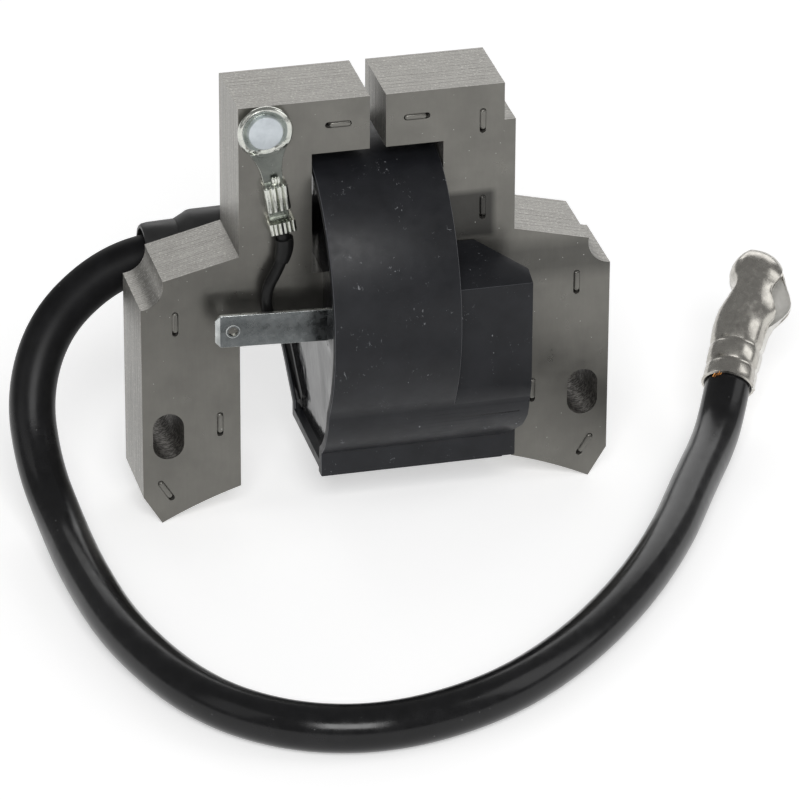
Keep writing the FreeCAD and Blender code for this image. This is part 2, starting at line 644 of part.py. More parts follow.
def turned(label, name, corners, axis="H_Axis"):
    """A body turned about one axis of its sketch on the XZ plane."""
    body = new_body(label)
    sketch = body_sketch(body, "XZ_Plane", name)
    loop(sketch, corners)
    feature = body.newObject("PartDesign::Revolution", f"{name}_turned")
    feature.Profile = sketch
    feature.ReferenceAxis = (sketch, [axis])
    feature.Angle = 360
    doc.recompute()
    return body


bore, pin_bore = size("lead_radius") + size("fit"), size("contact_radius") + size("fit")
lead_boot = turned("lead_boot", "lead_boot_profile", [
    (size("potting_left"), pin_bore), (size("potting_left"), size("spigot_radius")),
    (size("boot_right"), size("spigot_radius")), (size("boot_right"), size("boot_radius")),
    (size("boot_left"), size("boot_radius")), (size("boot_cone_left"), size("sleeve_radius")),
    (size("boot_cone_left"), bore), (size("lead_start"), bore), (size("lead_start"), pin_bore),
])
lead_sleeve = turned("lead_sleeve", "lead_sleeve_profile", [
    (size("boot_cone_left"), size("lead_radius") + size("sleeve_slack")),
    (size("boot_cone_left"), size("sleeve_radius")), (size("sleeve_left"), size("sleeve_radius")),
    (size("sleeve_left"), size("lead_radius") + size("sleeve_slack")),
])
for piece in (lead_boot, lead_sleeve):
    bind(piece, Placement__Base__y=size("lead_y"), Placement__Base__z=size("lead_z"))
lead_contact = rod_x("lead_contact", size("lead_start"), size("contact_end"),
                     size("lead_y"), size("lead_z"), size("contact_radius"))

lead_path = path_of(LEAD_ROUTE, "plug lead")
print(f"plug lead length, mm: {lead_path.Length:.1f}")
conductor = number("conductor_radius")
lead_jacket = set_shape("lead_jacket", tube(lead_path, number("lead_radius"), conductor + fit))
lead_conductor = set_shape("lead_conductor", tube(lead_path, conductor))

# ---------------------------------------------------------------- plug terminal
# Drawn upright, with the lead's entry at the origin, the head above it and the socket
# mouth facing -Y, then laid over at the end of the lead.
barrel, thin = size("barrel_radius"), size("barrel_wall")
shell = turned("plug_terminal_shell", "plug_terminal_profile", [
    (barrel, 0.0), (barrel, size("barrel_long")), (size("waist_radius"), size("waist_at")),
    (size("head_radius"), size("head_at")), (size("head_radius"), size("head_end")),
    (0.0, size("head_end") + size("head_radius"), size("head_radius"), 1),
    (0.0, size("head_end") + size("head_radius") - thin),
    (size("head_radius") - thin, size("head_end"), size("head_radius") - thin, -1),
    (size("head_radius") - thin, size("head_at")),
    (size("waist_radius") - thin, size("waist_at")),
    (barrel - thin, size("barrel_long")), (barrel - thin, 0.0),
], axis="V_Axis")
mouth = body_sketch(shell, "XZ_Plane", "plug_terminal_mouth")
circle(mouth, 0.0, size("mouth_at"), size("mouth_radius"))
pocket(shell, mouth, backwards=True)

spring_outer = doc.addObject("Part::Cylinder", "spring_outer")
spring_inner = doc.addObject("Part::Cylinder", "spring_inner")
for cylinder, radius in ((spring_outer, size("spring_radius")),
                         (spring_inner, size("spring_radius") - size("spring_thick"))):
    bind(cylinder, Radius=radius, Height=size("spring_high") - size("spring_low"),
         Placement__Base__z=size("spring_low"))
spring_mouth = box("spring_mouth", -size("mouth_radius") * 0.8, size("mouth_radius") * 0.8,
                   -size("head_radius"), 0.0, size("head_at"), size("head_end") + 1.0)
spring = cut("plug_terminal_spring", spring_outer, spring_inner, spring_mouth)

plug_contact = turned("plug_contact", "plug_contact_profile", [
    (0.0, size("lead_grip")), (conductor, size("lead_grip")),
    (barrel - thin - fit, size("lead_grip") + 0.8),
    (barrel - thin - fit, size("lead_grip") + 1.4), (0.0, size("lead_grip") + 1.4),
], axis="V_Axis")

tuft_ring = doc.addObject("Part::Cylinder", "tuft_outer")
tuft_hole = doc.addObject("Part::Cylinder", "tuft_inner")
for cylinder, radius in ((tuft_ring, barrel + 0.5), (tuft_hole, barrel + fit)):
    bind(cylinder, Radius=radius, Height=size("tuft_long"))
tuft_ring.Angle = 50
tuft_ring.Placement = Placement(Vector(), Rotation(Vector(0, 0, 1), 137))
tuft = cut("plug_terminal_strands", tuft_ring, tuft_hole)

for piece in (shell, spring, plug_contact, tuft):
    bind(piece, Placement__Base__x=size("plug_x"), Placement__Base__y=size("plug_y"),
         Placement__Base__z=size("plug_z"), Placement__Rotation__Yaw=size("plug_heading"),
         Placement__Rotation__Pitch=Dim.of(90.0) - size("plug_rise"))

# ---------------------------------------------------------------- potting
window_y, window_z = winding_y + size("fit"), winding_z + size("fit")
level = size("coil_level")
bobbin_window = box("bobbin_window", size("potting_left") - 1.0, size("drum_right"),
                    -window_y, window_y, level - window_z, level + window_z)
coil_space = rod_x("coil_space", size("coil_start") - size("fit"), size("coil_end") + size("fit"),
                   0.0, level, size("flange_radius") + size("fit"))
contact_space = rod_x("contact_space", size("potting_left") - 1.0,
                      size("contact_end") + size("fit"), size("lead_y"), size("lead_z"), pin_bore)
rim_floor = rod_y("rim_floor", size("relief_front") - size("wall") - size("fit"),
                  size("foot_rear") + 15.0, 0.0, size("pole_centre_z"),
                  size("rim_relief") + size("wall") + size("fit"))
coil_fill = prism("coil_fill", "YZ_Plane", DRUM_OUTLINE, size("potting_left"),
                  size("drum_right") - size("wall") - size("fit") - size("potting_left"),
                  size("wall") + size("fit"))
coil_potting = cut("coil_potting", coil_fill, bobbin_window, coil_space, contact_space,
                   rim_floor, blade, link_hole, ground_wire_hole)
fill_x0 = size("module_inner_left") + size("fit")
fill_x1 = size("module_inner_right") - size("fit")
low_fill = box("module_fill", fill_x0, fill_x1,
               size("wall") - size("foot_front") + size("fit"), size("module_fill_rear"),
               size("foot_low") + size("wall") + size("fit"),
               size("module_top") - size("wall") - size("fit"))
high_fill = prism("trigger_fill", "XY_Plane", box_plan(size("module_inner_left") - size("wall")),
                  size("box_inner_low") + size("fit"),
                  size("box_inner_top") - size("box_inner_low") - size("fit") * 2,
                  size("wall") + size("fit"))
module_potting = cut("module_potting", joined("module_fill_block", low_fill, high_fill),
                     rim_floor, board, power_transistor, driver, resistors, link_hole)

# ---------------------------------------------------------------- check and write
NODES = [
    left_stack, right_stack, bar, housing, coil_potting, module_potting, primary_bobbin,
    primary_winding, secondary_bobbin, secondary_winding, board, power_transistor, driver,
    resistors, blade, link_wire, ring, rivet, ground_wire_jacket, ground_wire_strands,
    ground_wire_sleeve, lead_boot, lead_sleeve, lead_contact, lead_jacket, lead_conductor,
    shell, spring, plug_contact, tuft,
]
doc.recompute()
for thing in doc.Objects:
    if "Invalid" in thing.State or "Error" in thing.State:
        raise RuntimeError(f"{thing.Name} failed: {thing.State}")
os.makedirs("parts", exist_ok=True)
for node in NODES:
    shape = node.Shape
    if shape.isNull() or not shape.isValid() or not shape.Solids:
        raise RuntimeError(f"{node.Label} has no valid solid")
    shape.exportStep(f"parts/{node.Label}.step")
    print(f"{node.Label}: {len(shape.Solids)} solid(s), {shape.Volume / 1000:.3f} cm3")
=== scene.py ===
import math
import random

import bmesh
import bpy
from mathutils import Matrix, Vector, noise


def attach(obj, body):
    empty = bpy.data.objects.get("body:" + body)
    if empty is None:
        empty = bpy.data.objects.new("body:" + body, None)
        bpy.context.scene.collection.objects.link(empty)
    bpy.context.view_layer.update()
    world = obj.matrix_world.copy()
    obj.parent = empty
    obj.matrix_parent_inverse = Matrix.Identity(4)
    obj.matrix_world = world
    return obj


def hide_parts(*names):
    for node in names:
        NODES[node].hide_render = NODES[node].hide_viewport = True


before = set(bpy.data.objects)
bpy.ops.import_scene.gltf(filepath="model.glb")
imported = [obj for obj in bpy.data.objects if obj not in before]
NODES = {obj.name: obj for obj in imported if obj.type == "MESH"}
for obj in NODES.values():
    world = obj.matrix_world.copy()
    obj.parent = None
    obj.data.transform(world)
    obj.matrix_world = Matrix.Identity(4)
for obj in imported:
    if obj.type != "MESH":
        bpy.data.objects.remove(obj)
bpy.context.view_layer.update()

# A small-engine ignition coil: laminated core, moulded coil and trigger housing, stop
# blade, riveted ground wire, and a plug lead that ends in a nickel plug terminal.
# Shapes are worked out in millimetres in the part's frame and stored in metres.

MM = 0.001
random.seed(7)

# ---------------------------------------------------------------- driving sizes, mm
STACK_HALF = 7.5          # half the core's thickness
SHEETS, STAKED_SHEETS = 24, 4    # laminations in the core, and those with open stakes
SHEET_GAP, SHEET_EDGE, SHEET_LOOSE = 0.003, 0.018, 0.012
LEG_OUTER, COLUMN_OUTER, COLUMN_INNER = 40.99, 23.94, 11.37
STACK_TOP, ARM_UNDER = 76.5, 66.84
SLOT_X, SLOT_Z, SLOT_WIDE, SLOT_LONG = 36.5, 16.5, 5.4, 8.6
DRUM_LEFT, DRUM_RIGHT, WALL = -10.9, 11.1, 1.6
FOOT_LOW, BOX_RIGHT, MODULE_RIGHT = 8.0, 24.4, 23.4
POTTING = -9.4
POLE_CENTRE_Z, RELIEF_RADIUS, RELIEF_FRONT = -73.9, 83.6, -10.2
BLADE_LEFT, BLADE_END, BLADE_LOW, BLADE_HIGH, BLADE_Y = -29.3, -5.6, 34.2, 40.1, -12.5
BLADE_RISE, BLADE_HOLE_X, BLADE_HALF_THICK, BLADE_HOLE = 1.0, -26.3, 0.40, 0.85
RING_X, RING_Z, RING_RADIUS, RING_LEAN = -19.6, 72.3, 4.7, math.radians(8.6)
RING_SHEET = 0.8          # its sheet's thickness
LEAD_Y, LEAD_Z, LEAD_RADIUS = 15.3, 40.3, 4.0
PLUG_PLACE, PLUG_HEADING, PLUG_RISE = (65.9, 2.6, 9.0), math.radians(63.2), math.radians(31.4)

# Route of the plug lead: corners of its line, from inside the boot to the terminal, metres.
LEAD_ROUTE = [
    (-0.0240, 0.0153, 0.0403), (-0.0342, 0.0153, 0.0403), (-0.0438, 0.0156, 0.0368),
    (-0.0530, 0.0129, 0.0296), (-0.0578, 0.0072, 0.0198), (-0.0578, -0.0010, 0.0102),
    (-0.0563, -0.0120, 0.0049), (-0.0558, -0.0290, 0.0041), (-0.0535, -0.0515, 0.00405),
    (-0.0460, -0.0740, 0.00405), (-0.0340, -0.0867, 0.00405), (-0.0183, -0.0910, 0.00405),
    (0.0000, -0.0860, 0.00405), (0.0160, -0.0745, 0.00405), (0.0310, -0.0580, 0.00405),
    (0.0433, -0.0400, 0.00405), (0.0524, -0.0226, 0.00405), (0.0603, -0.0084, 0.0041),
    (0.06398, -0.0012, 0.0064), (0.06667, 0.00412, 0.01004),
]

# Route of the ground wire: from the ring terminal's crimp, behind the blade, into the coil.
GROUND_ROUTE = [
    (-0.018133, -0.0095, 0.0628), (-0.01634, -0.0095, 0.05095), (-0.0177, -0.0095, 0.0472),
    (-0.0199, -0.0096, 0.0434), (-0.0197, -0.0098, 0.0384), (-0.0166, -0.0101, 0.0359),
    (-0.0062, -0.0103, 0.0366),
]

# ---------------------------------------------------------------- node-built materials


class Shader:
    """A material whose Principled shader is fed by procedural texture nodes."""

    def __init__(self, name, colour, rough, metal=0.0, specular=0.5):
        self.material = bpy.data.materials.new(name)
        self.material.use_nodes = True
        self.nodes = self.material.node_tree.nodes
        self.links = self.material.node_tree.links
        self.bsdf = self.nodes["Principled BSDF"]
        for socket, value in (("Base Color", (*colour, 1.0)), ("Roughness", rough),
                              ("Metallic", metal), ("Specular IOR Level", specular)):
            self.bsdf.inputs[socket].default_value = value
        self.place = self.nodes.new("ShaderNodeTexCoord").outputs["Object"]
        self.normal = None

    def node(self, kind, inputs=None, **settings):
        made = self.nodes.new(kind)
        for name, value in settings.items():
            setattr(made, name, value)
        for name, value in (inputs or {}).items():
            self.put(made.inputs[name], value)
        return made

    def put(self, socket, value):
        if isinstance(value, bpy.types.NodeSocket):
            self.links.new(value, socket)
        elif socket.type == "RGBA" and len(value) == 3:
            socket.default_value = (*value, 1.0)
        else:
            socket.default_value = value

    def feed(self, name, socket):
        self.links.new(socket, self.bsdf.inputs[name])

    def stretched(self, x, y, z):
        """Object coordinates, in metres, stretched along the axes."""
        return self.node("ShaderNodeMapping", {"Vector": self.place, "Scale": (x, y, z)}).outputs[0]

    def noise(self, size_mm, detail=4.0, where=None, rough=0.55, warp=0.0):
        return self.node("ShaderNodeTexNoise", {
            "Vector": where or self.place, "Scale": 1.0 / (size_mm * MM), "Detail": detail,
            "Roughness": rough, "Distortion": warp}).outputs["Fac"]

    def cells(self, size_mm, where=None):
        """The distance to the nearest of many scattered points."""
        return self.node("ShaderNodeTexVoronoi", {
            "Vector": where or self.place, "Scale": 1.0 / (size_mm * MM)}).outputs["Distance"]

    def ramp(self, factor, *stops):
        """A grey or a colour by factor; each stop is (place, grey or colour)."""
        made = self.node("ShaderNodeValToRGB", {"Fac": factor})
        elements = made.color_ramp.elements
        while len(elements) < len(stops):
            elements.new(0.5)
        for element, (place, shade) in zip(elements, stops):
            element.position = place
            element.color = (*((shade,) * 3 if isinstance(shade, (int, float)) else shade), 1.0)
        return made.outputs["Color"]

    def math(self, kind, a, b=0.0):
        made = self.node("ShaderNodeMath", operation=kind, use_clamp=True)
        self.put(made.inputs[0], a)
        self.put(made.inputs[1], b)
        return made.outputs[0]

    def mix(self, factor, a, b):
        made = self.node("ShaderNodeMix", data_type="RGBA")
        self.put(made.inputs["Factor"], factor)
        colours = [socket for socket in made.inputs if socket.type == "RGBA"]
        self.put(colours[0], a)
        self.put(colours[1], b)
        return next(socket for socket in made.outputs if socket.type == "RGBA")

    def bump(self, height, depth_mm):
        """Adds a relief; each call builds on the one before."""
        inputs = {"Height": height, "Strength": 1.0, "Distance": depth_mm * MM}
        if self.normal is not None:
            inputs["Normal"] = self.normal
        self.normal = self.node("ShaderNodeBump", inputs).outputs["Normal"]
        self.feed("Normal", self.normal)

    def patch(self, left, right, low, high, soft):
        """1 inside a rectangle of X and Z, fading out over its border, in mm."""
        inside = 1.0
        for letter, edge, way in (("X", left, 1), ("X", right, -1), ("Z", low, 1),
                                  ("Z", high, -1)):
            side = self.node("ShaderNodeMath", {
                0: self.along(letter), 1: way / (soft * MM), 2: 0.5 - way * edge / soft},
                operation="MULTIPLY_ADD", use_clamp=True).outputs[0]
            inside = self.math("MULTIPLY", side, inside)
        return inside

    def along(self, letter):
        """One coordinate of the place, in metres."""
        return self.node("ShaderNodeSeparateXYZ", {"Vector": self.place}).outputs[letter]


def steel_sheet():
    """The flat face of a core sheet: dull grey coated steel with rolling marks and stains, and two
    soft dark patches of painted shade on the right half.
    """
    look = Shader("steel_sheet", (0.17, 0.165, 0.15), 0.24, metal=0.9)
    stain = look.noise(9.0, 5.0, rough=0.6)
    grain = look.noise(0.5, 3.0, where=look.stretched(1.0, 1.0, 0.12))
    fine = look.noise(0.12, 2.0)
    colour = look.mix(look.ramp(stain, (0.35, 0.0), (0.7, 1.0)),
                      (0.160, 0.156, 0.143), (0.200, 0.195, 0.178))
    colour = look.mix(look.math("MULTIPLY", grain, 0.35), colour, (0.13, 0.126, 0.114))
    # painted shade: two soft near-black rectangles mixed into the colour, one on the right column
    # above the trigger box, one across the top of the right leg
    for left, right, low, high, soft, depth in ((9.0, 20.3, 48.3, 56.9, 1.2, 0.74),
                                                (19.0, 44.0, 39.5, 46.0, 3.0, 0.44)):
        painted_shade = look.math("MULTIPLY", look.patch(left, right, low, high, soft), depth)
        colour = look.mix(painted_shade, colour, (0.020, 0.020, 0.020))
    specks = look.math("GREATER_THAN", 0.045, look.cells(1.9))
    look.feed("Base Color", look.mix(specks, colour, (0.42, 0.42, 0.40)))
    look.feed("Roughness", look.ramp(look.noise(3.0, 5.0), (0.3, 0.27), (0.7, 0.37)))
    look.bump(grain, 0.003)
    look.bump(fine, 0.002)
    return look.material


def steel_edge():
    """Cut edges of the core's sheets: lighter, faintly streaked along each sheet, speckled."""
    look = Shader("steel_edge", (0.3, 0.29, 0.27), 0.40, metal=0.85)
    streak = look.noise(0.9, 3.0, where=look.stretched(0.12, 2.4, 0.12), rough=0.6)
    speckle = look.noise(0.42, 2.0, rough=0.6)
    cloud = look.noise(3.5, 4.0, rough=0.6)
    tone = look.mix(look.ramp(streak, (0.30, 0.0), (0.70, 1.0)),
                    (0.27, 0.262, 0.245), (0.37, 0.36, 0.335))
    tone = look.mix(look.ramp(cloud, (0.35, 0.0), (0.75, 0.5)), tone, (0.24, 0.232, 0.215))
    tone = look.mix(look.ramp(speckle, (0.56, 0.0), (0.70, 0.6)), tone, (0.72, 0.70, 0.66))
    tone = look.mix(look.ramp(speckle, (0.30, 0.55), (0.42, 0.0)), tone, (0.12, 0.115, 0.105))
    look.feed("Base Color", tone)
    look.feed("Roughness", look.ramp(speckle, (0.3, 0.34), (0.7, 0.48)))
    look.bump(streak, 0.006)
    look.bump(speckle, 0.012)
    return look.material


def steel_bore_painted_shade():
    """The punched wall of a slot: painted dark as the shade inside the slot, with the sheets' torn
    edges as a fine hatch.
    """
    look = Shader("steel_bore_painted_shade", (0.10, 0.095, 0.088), 0.55, metal=0.8)
    hatch = look.noise(0.5, 2.0, where=look.stretched(0.8, 1.6, 0.8))
    look.feed("Base Color", look.mix(look.ramp(hatch, (0.48, 0.0), (0.56, 1.0)),
                                     (0.055, 0.050, 0.045), (0.20, 0.19, 0.175)))
    look.bump(hatch, 0.03)
    return look.material


def moulded(name, colour, rough, marks=0.5, specular=0.25):
    """Moulded plastic with handling marks: specks, ragged scuffs and a dull haze."""
    look = Shader(name, colour, rough, specular=specular)
    haze = look.noise(7.0, 4.0, rough=0.6)
    body = look.mix(look.ramp(haze, (0.35, 0.0), (0.75, 1.0)), colour,
                    tuple(c * 1.6 + 0.001 for c in colour))
    worn = look.ramp(look.noise(6.0, 2.0), (0.53, 0.0), (0.62, 1.0))
    speck = look.math("GREATER_THAN", 0.045, look.cells(3.4, look.stretched(1.0, 1.0, 0.6)))
    ragged = look.noise(0.9, 4.0, where=look.stretched(1.0, 1.0, 0.6), rough=0.7, warp=1.6)
    scuff = look.math("MULTIPLY", look.ramp(ragged, (0.64, 0.0), (0.68, 1.0)), worn)
    mark = look.math("MULTIPLY", look.math("ADD", look.math("MULTIPLY", speck, 0.8), scuff), marks)
    look.feed("Base Color", look.mix(mark, body, (0.34, 0.35, 0.37)))
    look.feed("Roughness", look.ramp(look.noise(2.2, 5.0), (0.3, rough - 0.06),
                                     (0.7, rough + 0.07)))
    look.bump(look.noise(0.45, 3.0), 0.005)
    look.bump(look.noise(5.0, 2.0), 0.03)
    return look.material


def resin():
    """Black casting resin, poured and left glossy."""
    look = Shader("casting_resin", (0.006, 0.006, 0.007), 0.07, specular=0.55)
    look.feed("Base Color", look.mix(look.noise(3.0), (0.004, 0.004, 0.005),
                                     (0.011, 0.011, 0.012)))
    look.feed("Roughness", look.ramp(look.noise(1.5, 5.0), (0.35, 0.05), (0.75, 0.16)))
    look.bump(look.noise(4.0, 2.0), 0.05)
    return look.material


def plated(name, colour, rough, smudge, metal=1.0):
    """Plated sheet metal with smudges and fine press marks."""
    look = Shader(name, colour, rough, metal=metal)
    cloud = look.noise(2.6, 5.0, rough=0.65, warp=0.6)
    look.feed("Base Color", look.mix(look.ramp(cloud, (0.4, 0.0), (0.72, 1.0)), colour, smudge))
    look.feed("Roughness", look.ramp(look.noise(1.1, 4.0), (0.3, max(rough - 0.07, 0.05)),
                                     (0.7, rough + 0.10)))
    look.bump(look.noise(0.25, 3.0), 0.006)
    look.bump(look.noise(1.8, 2.0), 0.018)
    return look.material


def rubber(name, colour, rough, specular, dust=0.25, handled=0.0):
    """Extruded or moulded rubber with dust; duller above the handled height, in metres."""
    look = Shader(name, colour, rough, specular=specular)
    cloud = look.noise(5.0, 5.0, rough=0.65)
    body = look.mix(look.ramp(cloud, (0.4, 0.0), (0.8, 1.0)), colour,
                    tuple(c * 1.6 + 0.002 for c in colour))
    specks = look.math("MULTIPLY", look.math("GREATER_THAN", 0.04, look.cells(3.1)), dust)
    look.feed("Base Color", look.mix(specks, body, (0.28, 0.28, 0.28)))
    shine = look.ramp(look.noise(2.5, 5.0), (0.3, rough - 0.04), (0.75, rough + 0.08))
    if handled:
        height = look.math("MULTIPLY", look.along("Z"), 1.0 / handled)
        shine = look.mix(look.ramp(height, (0.35, 0.0), (1.0, 1.0)), shine, (0.5, 0.5, 0.5))
        look.feed("Specular IOR Level", look.ramp(height, (0.35, specular), (1.0, 0.10)))
    look.feed("Roughness", shine)
    look.bump(look.noise(0.5, 3.0), 0.004)
    look.bump(look.noise(6.0, 2.0), 0.03)
    return look.material


def stranded(name, colour):
    """Fine drawn wire, laid in turns."""
    look = Shader(name, colour, 0.35, metal=1.0)
    turns = look.noise(0.3, 2.0, where=look.stretched(3.0, 0.3, 0.3))
    look.feed("Base Color", look.mix(turns, tuple(c * 0.55 for c in colour), colour))
    look.bump(turns, 0.02)
    return look.material


STEEL_SHEET, STEEL_EDGE, STEEL_BORE_SHADED = steel_sheet(), steel_edge(), steel_bore_painted_shade()
PLASTIC = moulded("housing_plastic_look", (0.0095, 0.010, 0.012), 0.40)
# lighter plastic for rims and edges: a painted highlight along them, with scuffs and specks of wear
RIM_HIGHLIGHT_AND_WEAR = moulded("rim_highlight_and_wear_look", (0.055, 0.057, 0.063), 0.45, marks=1.0, specular=0.4)
RESIN = resin()
# the blade's tin in two tones: flat faces dark as painted shade, edges much lighter as a painted
# highlight
TIN = plated("blade_tin", (0.17, 0.18, 0.182), 0.26, (0.11, 0.12, 0.122))
TIN_EDGE_HIGHLIGHT = plated("blade_edge_painted_highlight", (0.62, 0.64, 0.63), 0.30, (0.40, 0.42, 0.42))
# the ring terminal's tin in two tones: dish, crimps and edges light as a painted highlight, the
# tongue's flat faces dark as painted shade
RING_TIN_LIT = plated("ring_tin_painted_highlight", (0.66, 0.67, 0.62), 0.20, (0.48, 0.50, 0.46))
TONGUE_TIN_SHADED = plated("tongue_tin_painted_shade", (0.17, 0.18, 0.165), 0.30, (0.13, 0.14, 0.13))
RIVET = plated("rivet_zinc", (0.60, 0.64, 0.67), 0.42, (0.50, 0.54, 0.57))
NICKEL = plated("nickel_look", (0.57, 0.55, 0.505), 0.24, (0.42, 0.40, 0.37))
# near-white inside of the terminal and its spring: a painted reflection
NICKEL_INSIDE_LIT = plated("nickel_inside_painted_reflection", (0.92, 0.91, 0.88), 0.50, (0.78, 0.77, 0.74), metal=0.2)
BOOT = rubber("boot_look", (0.016, 0.016, 0.016), 0.42, 0.4)
LEAD = rubber("lead_look", (0.006, 0.006, 0.0065), 0.20, 0.30, handled=0.034)
WIRE = rubber("wire_look", (0.006, 0.006, 0.006), 0.32, 0.2)
COPPER = stranded("copper_look", (0.78, 0.34, 0.10))
BOBBIN = moulded("bobbin_look", (0.30, 0.27, 0.20), 0.5, marks=0.1)
ENAMELLED = stranded("enamelled_look", (0.42, 0.13, 0.05))
COMPONENT = moulded("component_look", (0.015, 0.015, 0.015), 0.4, marks=0.1)
BRASS = plated("brass_look", (0.70, 0.52, 0.22), 0.3, (0.55, 0.40, 0.16))
KEPT_LOOKS = {
    "core_bar": STEEL_SHEET, "coil_potting": RESIN, "module_potting": RESIN,
    "primary_bobbin": BOBBIN, "primary_winding": ENAMELLED, "secondary_bobbin": BOBBIN,
    "secondary_winding": ENAMELLED,
    "trigger_board": moulded("board_look", (0.05, 0.14, 0.06), 0.45, marks=0.05),
    "power_transistor": COMPONENT, "driver_transistor": COMPONENT,
    "bias_resistors": moulded("resistor_look", (0.45, 0.36, 0.22), 0.35, marks=0.1),
    "stop_link_wire": TIN_EDGE_HIGHLIGHT, "lead_contact": BRASS, "plug_contact": BRASS,
}

# ---------------------------------------------------------------- outlines
XZ = Matrix(((1, 0, 0, 0), (0, 0, -1, 0), (0, 1, 0, 0), (0, 0, 0, 1)))   # depth runs to -Y
YZ = Matrix(((0, 0, 1, 0), (1, 0, 0, 0), (0, 1, 0, 0), (0, 0, 0, 1)))    # depth runs to +X


def arc(start, end, radius, turn, steps):
    """Points of the short arc after start, its end among them; turn 1 is anticlockwise."""
    start, end = Vector(start), Vector(end)
    chord = end - start
    rise = math.sqrt(radius ** 2 - (chord.length / 2) ** 2)
    centre = (start + end) / 2 + Vector((-chord.y, chord.x)).normalized() * rise * turn
    first, last = (start - centre), (end - centre)
    sweep = math.atan2(first.cross(last), first.dot(last))
    return [centre + Matrix.Rotation(sweep * step / steps, 2) @ first
            for step in range(1, steps + 1)]


def outline(corners, steps=12):
    """A closed outline. A corner is (a, b), or (a, b, radius, turn) where an arc leads to it."""
    points = []
    for index, corner in enumerate(corners):
        if len(corner) == 4:
            points += arc(corners[index - 1][:2], corner[:2], corner[2], corner[3], steps)
        else:
            points.append(Vector(corner))
    return points


def circle(a, b, radius, steps=48):
    turns = [2 * math.pi * step / steps for step in range(steps)]
    return [Vector((a + radius * math.cos(t), b + radius * math.sin(t))) for t in turns]


def stadium(a, b, wide, long, angle=0.0, steps=12):
    """A round-ended slot, upright at angle 0."""
    half, reach = wide / 2, (long - wide) / 2
    points = []
    for end in (1, -1):
        for step in range(steps + 1):
            t = math.pi * step / steps + (0 if end > 0 else math.pi)
            points.append(Vector((half * math.cos(t), half * math.sin(t) + reach * end)))
    spin = Matrix.Rotation(angle, 2)
    return [spin @ point + Vector((a, b)) for point in points]


def moved(points, distance):
    """A closed outline moved inward, corner by corner."""
    area = sum(a.cross(b) for a, b in zip(points, points[1:] + points[:1]))
    side = 1 if area > 0 else -1
    result = []
    for before, here, after in zip(points[-1:] + points[:-1], points, points[1:] + points[:1]):
        coming, going = (here - before).normalized(), (after - here).normalized()
        left = Vector((-coming.y, coming.x)) + Vector((-going.y, going.x))
        left = left.normalized() * side
        lean = max(left.dot(Vector((-going.y, going.x)) * side), 0.3)
        result.append(here + left * distance / lean)
    return result


# ---------------------------------------------------------------- solids
def to_object(name, mesh):
    piece = bpy.data.objects.new(name, mesh)
    bpy.context.scene.collection.objects.link(piece)
    return piece


def from_bmesh(name, work):
    bmesh.ops.remove_doubles(work, verts=work.verts, dist=1e-7)
    bmesh.ops.recalc_face_normals(work, faces=work.faces)
    mesh = bpy.data.meshes.new(name)
    work.to_mesh(mesh)
    work.free()
    return to_object(name, mesh)


def plate(name, plane, outlines, low, high, bevel=0.0, segments=1):
    """A flat solid between two depths; the first outline is its edge, the rest are holes."""
    curve = bpy.data.curves.new(name, "CURVE")
    curve.dimensions = "2D"
    curve.fill_mode = "BOTH"
    curve.extrude = ((high - low) / 2 - bevel) * MM
    curve.bevel_depth, curve.bevel_resolution = bevel * MM, segments - 1
    curve.offset = -bevel * MM
    for points in outlines:
        spline = curve.splines.new("POLY")
        spline.points.add(len(points) - 1)
        for point, place in zip(spline.points, points):
            point.co = (place.x * MM, place.y * MM, 0.0, 1.0)
        spline.use_cyclic_u = True
    holder = bpy.data.objects.new(name, curve)
    bpy.context.scene.collection.objects.link(holder)
    bpy.context.view_layer.update()
    graph = bpy.context.evaluated_depsgraph_get()
    mesh = bpy.data.meshes.new_from_object(holder.evaluated_get(graph))
    bpy.data.objects.remove(holder)
    work = bmesh.new()
    work.from_mesh(mesh)
    depth = Matrix.Translation((0, 0, (low + high) / 2 * MM))
    bmesh.ops.transform(work, matrix=plane @ depth, verts=work.verts)
    bmesh.ops.remove_doubles(work, verts=work.verts, dist=2e-7)
    return from_bmesh(name, work)


def loft(name, rings):
    """A capped solid through rings of points in millimetres."""
    work = bmesh.new()
    rows = [[work.verts.new(Vector(point) * MM) for point in ring] for ring in rings]
    for first, second in zip(rows, rows[1:]):
        for index in range(len(first)):
            after = (index + 1) % len(first)
            work.faces.new((first[index], first[after], second[after], second[index]))
    work.faces.new(rows[0])
    work.faces.new(rows[-1])
    return from_bmesh(name, work)


def lathe(name, profile, place, along, steps=64):
    """A solid turned about the axis along from place; profile is (distance, radius) pairs."""
    along = Vector(along).normalized()
    side = along.orthogonal().normalized()
    other = along.cross(side)
    rings = []
    for distance, radius in profile:
        centre = Vector(place) + along * distance
        rings.append([centre + (side * math.cos(t) + other * math.sin(t)) * max(radius, 0.002)
                      for t in (2 * math.pi * step / steps for step in range(steps))])
    return loft(name, rings)


def apply_modifiers(piece):
    bpy.context.view_layer.update()
    graph = bpy.context.evaluated_depsgraph_get()
    mesh = bpy.data.meshes.new_from_object(piece.evaluated_get(graph))
    piece.modifiers.clear()
    piece.data = mesh
    return piece


def boolean(piece, operation, *tools):
    """Joins, cuts or keeps the common part, then drops the tools."""
    for tool in tools:
        step = piece.modifiers.new("step", "BOOLEAN")
        step.operation, step.solver, step.object = operation, "EXACT", tool
        apply_modifiers(piece)
        bpy.data.objects.remove(tool)
    return piece


def rounded(piece, width):
    """Rounds the sharp edges."""
    step = piece.modifiers.new("round", "BEVEL")
    step.width, step.segments = width * MM, 2
    step.limit_method, step.angle_limit = "ANGLE", math.radians(35)
    step.use_clamp_overlap, step.harden_normals = True, False
    return apply_modifiers(piece)


